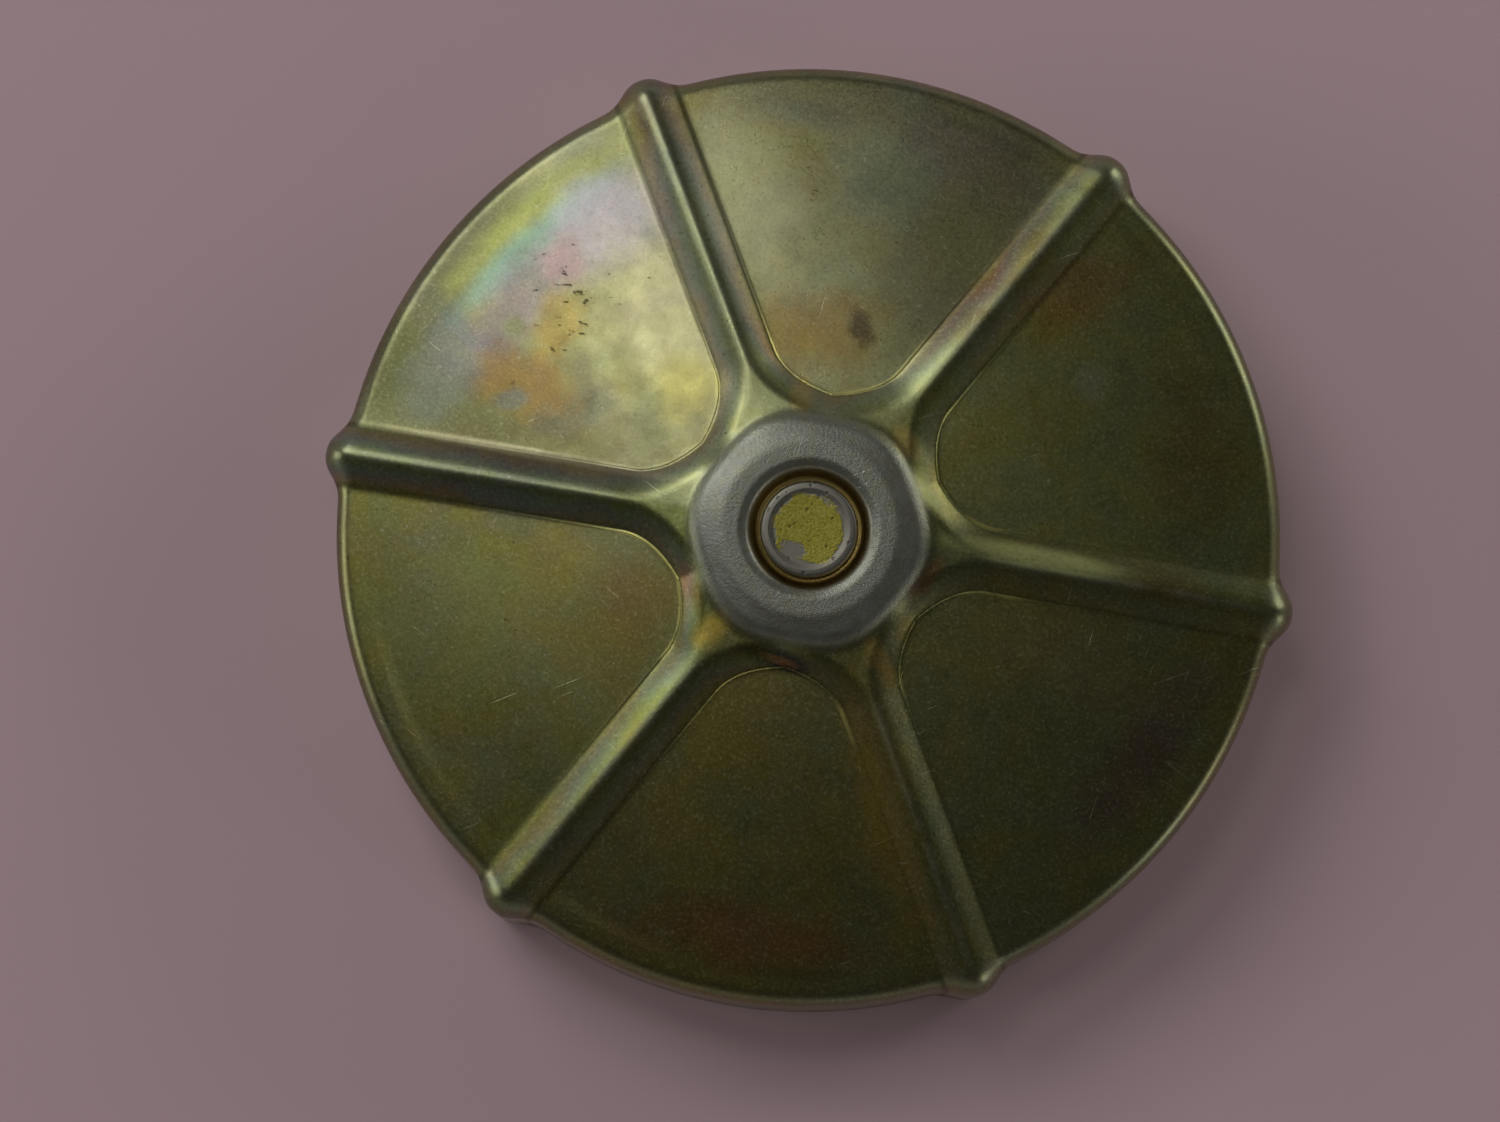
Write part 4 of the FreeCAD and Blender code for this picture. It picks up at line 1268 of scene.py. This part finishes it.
@dataclass
class FingerSpring:
    """Flat ring spring whose six fingers bend up against the shell and push the seal down."""

    bore_r: float = 21.2
    ring_r: float = 24.4
    root_r: float = 23.5
    bend_r: float = 29.6
    tip_r: float = 30.6
    foot_z: float = 11.4
    rise: float = 1.7
    thick: float = 0.4
    finger_width: float = 5.0
    edge_round: float = 0.12
    bend_round: float = 4.0
    travel: float = 1.2

    def ring(self, parts: MeshParts) -> None:
        """Turn the flat ring: a rectangle with rounded corners, closed on itself.

        Args:
            parts: the mesh that takes the ring.
        """
        top, low = self.foot_z + self.thick, self.foot_z
        middle = (self.bore_r + self.ring_r) / 2.0
        profile = rounded([
            (middle, top, 0.0),
            (self.ring_r, top, self.edge_round),
            (self.ring_r, low, self.edge_round),
            (self.bore_r, low, self.edge_round),
            (self.bore_r, top, self.edge_round),
            (middle, top, 0.0),
        ], 3)
        parts.grid(lathe(profile[:-1], 120), wrap_rows=True)

    def fingers(self, parts: MeshParts) -> None:
        """Bend the fingers up: a thin strip carried along a rounded path, narrower at its tip.

        Args:
            parts: the mesh that takes the fingers.
        """
        half = self.thick / 2.0
        path = rounded([
            (self.root_r, self.foot_z + half, 0.0),
            (self.ring_r + 0.4, self.foot_z + half, self.bend_round),
            (self.bend_r, self.foot_z + self.rise + half, self.bend_round / 2.0),
            (self.tip_r, self.foot_z + self.rise + half, 0.0),
        ], 6)
        share = np.linspace(0.0, 1.0, 6)[1:, None]
        path = np.concatenate([path[:-1], path[-2] + (path[-1] - path[-2]) * share])
        path = np.concatenate([path[:1], path, path[-1:]])
        from_tip = np.clip((self.tip_r - path[:, 0]) / 1.2, 0.0, 1.0)
        width = self.finger_width / 2.0 * (0.72 + 0.28 * np.sqrt(1.0 - (1.0 - from_tip) ** 2))
        width[[0, -1]] = 0.0
        depth = np.full(len(path), half * 0.9)
        depth[[0, -1]] = 0.0
        side = np.array([-0.96, 0.0, 0.96, 1.0, 1.0, 0.96, 0.0, -0.96, -1.0, -1.0])[None, :]
        level = np.array([1.0, 1.0, 1.0, 0.6, -0.6, -1.0, -1.0, -1.0, -0.6, 0.6])[None, :]
        out = path[:, :1] + 0.0 * side
        across = width[:, None] * side
        height = path[:, 1:] + depth[:, None] * level
        for number in range(RIBS):
            turn = (number + 0.5) * SECTOR
            x = out * math.cos(turn) - across * math.sin(turn)
            y = out * math.sin(turn) + across * math.cos(turn)
            parts.grid(np.stack([x, y, height], axis=-1))

    def build(self, workshop: Workshop) -> None:
        """Build and fit the spring.

        Args:
            workshop: what dresses and fits the piece.
        """
        parts = MeshParts()
        self.ring(parts)
        self.fingers(parts)
        piece = parts.make("seal_spring_fingers")
        workshop.fit(piece, Finish.SPRING, "cap", "seal_spring")
        height = self.rise + self.thick
        anchor_z = (self.foot_z + height) * MM
        (height - self.travel) / height
        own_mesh(piece)


# ---- studio -------------------------------------------------------------------------------


@dataclass
class Studio:
    """Floor, lights and camera round the cap."""

    floor_tone: Colour = (222, 190, 199)
    floor_size: float = 3000.0
    floor_gap: float = 0.02
    room_strength: float = 0.3
    ceiling_dimming: float = 0.235
    distance: float = 400.0
    frame_width: float = 115.9
    sensor: float = 36.0
    lean: float = 5.5
    aim_right: float = -4.53
    aim_up: float = -2.2
    aim_height: float = 14.0

    def floor(self) -> None:
        """Lay a plain pale floor just under the skirt."""
        half = self.floor_size / 2.0
        low = -self.floor_gap
        corners = np.array([[-half, -half, low], [half, -half, low], [half, half, low], [-half, half, low]])
        parts = MeshParts()
        parts.add(corners, np.array([[0, 1, 2, 3]]))
        floor = parts.make("floor")
        graph = Graph("floor_paper")
        floor.data.materials.append(
            graph.finish(Base_Color=(*linear(self.floor_tone), 1.0), Roughness=0.7))

    def axes(self) -> Tuple[Vector, Vector]:
        """Directions over the floor in the main view.

        Returns:
            The view's right and the view's up.
        """
        turn = math.radians(VIEW_TURN)
        right = Vector((math.cos(turn), math.sin(turn), 0.0))
        return right, Vector((-right.y, right.x, 0.0))

    def lamp(self, name: str, right: float, up: float, height: float, size: float, power: float) -> None:
        """Hang a white area light that faces the cap.

        Args:
            name: the light's name.
            right: place along the view's right, in millimetres.
            up: place along the view's up, in millimetres.
            height: height over the floor, in millimetres.
            size: side of the square light, in millimetres.
            power: its power in watts.
        """
        across, along = self.axes()
        place = (across * right + along * up + Vector((0.0, 0.0, height))) * MM
        data = bpy.data.lights.new(name, "AREA")
        data.shape = "SQUARE"
        data.size = size * MM
        data.energy = power
        lamp = bpy.data.objects.new(name, data)
        facing = (-place).to_track_quat("-Z", "Y").to_matrix().to_4x4()
        lamp.matrix_world = Matrix.Translation(place) @ facing
        bpy.context.scene.collection.objects.link(lamp)

    def lights(self) -> None:
        """Light the cap softly from the upper left, with low side windows and a dim ceiling."""
        self.lamp("key", -300.0, 330.0, 560.0, 340.0, 0.84)
        self.lamp("overhead_key", -110.0, 190.0, 820.0, 150.0, 0.25)
        self.lamp("left_window", -620.0, 20.0, 240.0, 300.0, 0.4)
        self.lamp("right_window", 560.0, 330.0, 240.0, 300.0, 0.5)
        self.lamp("lower_window", 560.0, -330.0, 200.0, 200.0, 0.2)
        world = bpy.data.worlds.new("studio")
        world.use_nodes = True
        room = Graph("studio", world.node_tree)
        direction = room.node("ShaderNodeTexCoord", output="Generated")
        high = room.parts(direction)[2]
        strength = self.room_strength - high.rise(0.2, 0.75) * self.ceiling_dimming
        tone = (*linear((238, 234, 232)), 1.0)
        backdrop = room.node("ShaderNodeBackground", None, {"Color": tone, "Strength": strength})
        output = room.tree.nodes.new("ShaderNodeOutputWorld")
        room.tree.links.new(backdrop.socket, output.inputs["Surface"])
        bpy.context.scene.world = world

    def camera(self) -> None:
        """Set the camera nearly overhead, leaning a little toward the bottom of the view."""
        across, along = self.axes()
        aim = across * self.aim_right + along * self.aim_up + Vector((0.0, 0.0, self.aim_height))
        lean = math.radians(self.lean)
        back = Vector((0.0, 0.0, math.cos(lean))) - along * math.sin(lean)
        place = aim + back * self.distance
        up = (along * math.cos(lean) + Vector((0.0, 0.0, math.sin(lean)))).normalized()
        turn = Matrix((up.cross(back), up, back)).transposed().to_4x4()
        data = bpy.data.cameras.new("camera")
        data.sensor_width = self.sensor
        data.lens = self.sensor * self.distance / self.frame_width
        data.clip_start, data.clip_end = 0.01, 20.0
        camera = bpy.data.objects.new("camera", data)
        camera.matrix_world = Matrix.Translation(place * MM) @ turn
        bpy.context.scene.collection.objects.link(camera)
        bpy.context.scene.camera = camera

    def build(self) -> None:
        """Build floor, lights and camera."""
        bpy.context.scene.view_settings.view_transform = "Standard"
        self.floor()
        self.lights()
        self.camera()


def main() -> None:
    """Build the cap's sub-assemblies in order, then the studio."""
    logging.basicConfig(level=logging.INFO, format="%(message)s")
    workshop = Workshop()
    DrawnShell().build(workshop)
    HubRivet().build(workshop)
    FingerSpring().build(workshop)
    CoilSpring("pressure_valve_spring", "cap", "pressure_valve_lift", wire_r=0.35, coil_r=4.9,
               foot_z=7.2, top_z=14.5, turns=6.0, travel=1.2, anchor_z=14.5).build(workshop)
    CoilSpring("vacuum_valve_spring", "pressure_valve", "vacuum_valve_drop", wire_r=0.175, coil_r=1.95,
               foot_z=7.2, top_z=10.4, turns=5.5, travel=1.0, anchor_z=7.2).build(workshop)
    for node, finish in (
        ("hub_washer", Finish.RING),
        ("locking_cup", Finish.CUP),
        ("thrust_ring", Finish.RING),
        ("gasket_plate", Finish.RING),
        ("gasket", Finish.GASKET),
        ("vent_filter", Finish.FOAM),
        ("filter_retainer", Finish.RING),
        ("valve_seat_plate", Finish.VALVE),
        ("seat_plate_gasket", Finish.FIBRE),
        ("pressure_valve_disc", Finish.VALVE),
        ("pressure_valve_seal", Finish.RUBBER),
        ("vacuum_valve", Finish.BRASS),
        ("vacuum_valve_clip", Finish.BRASS),
        ("splash_baffle", Finish.VALVE),
        ("baffle_rivets", Finish.RIVET),
    ):
        workshop.keep(node, finish)
    Studio().build()


if __name__ == "__main__":
    main()
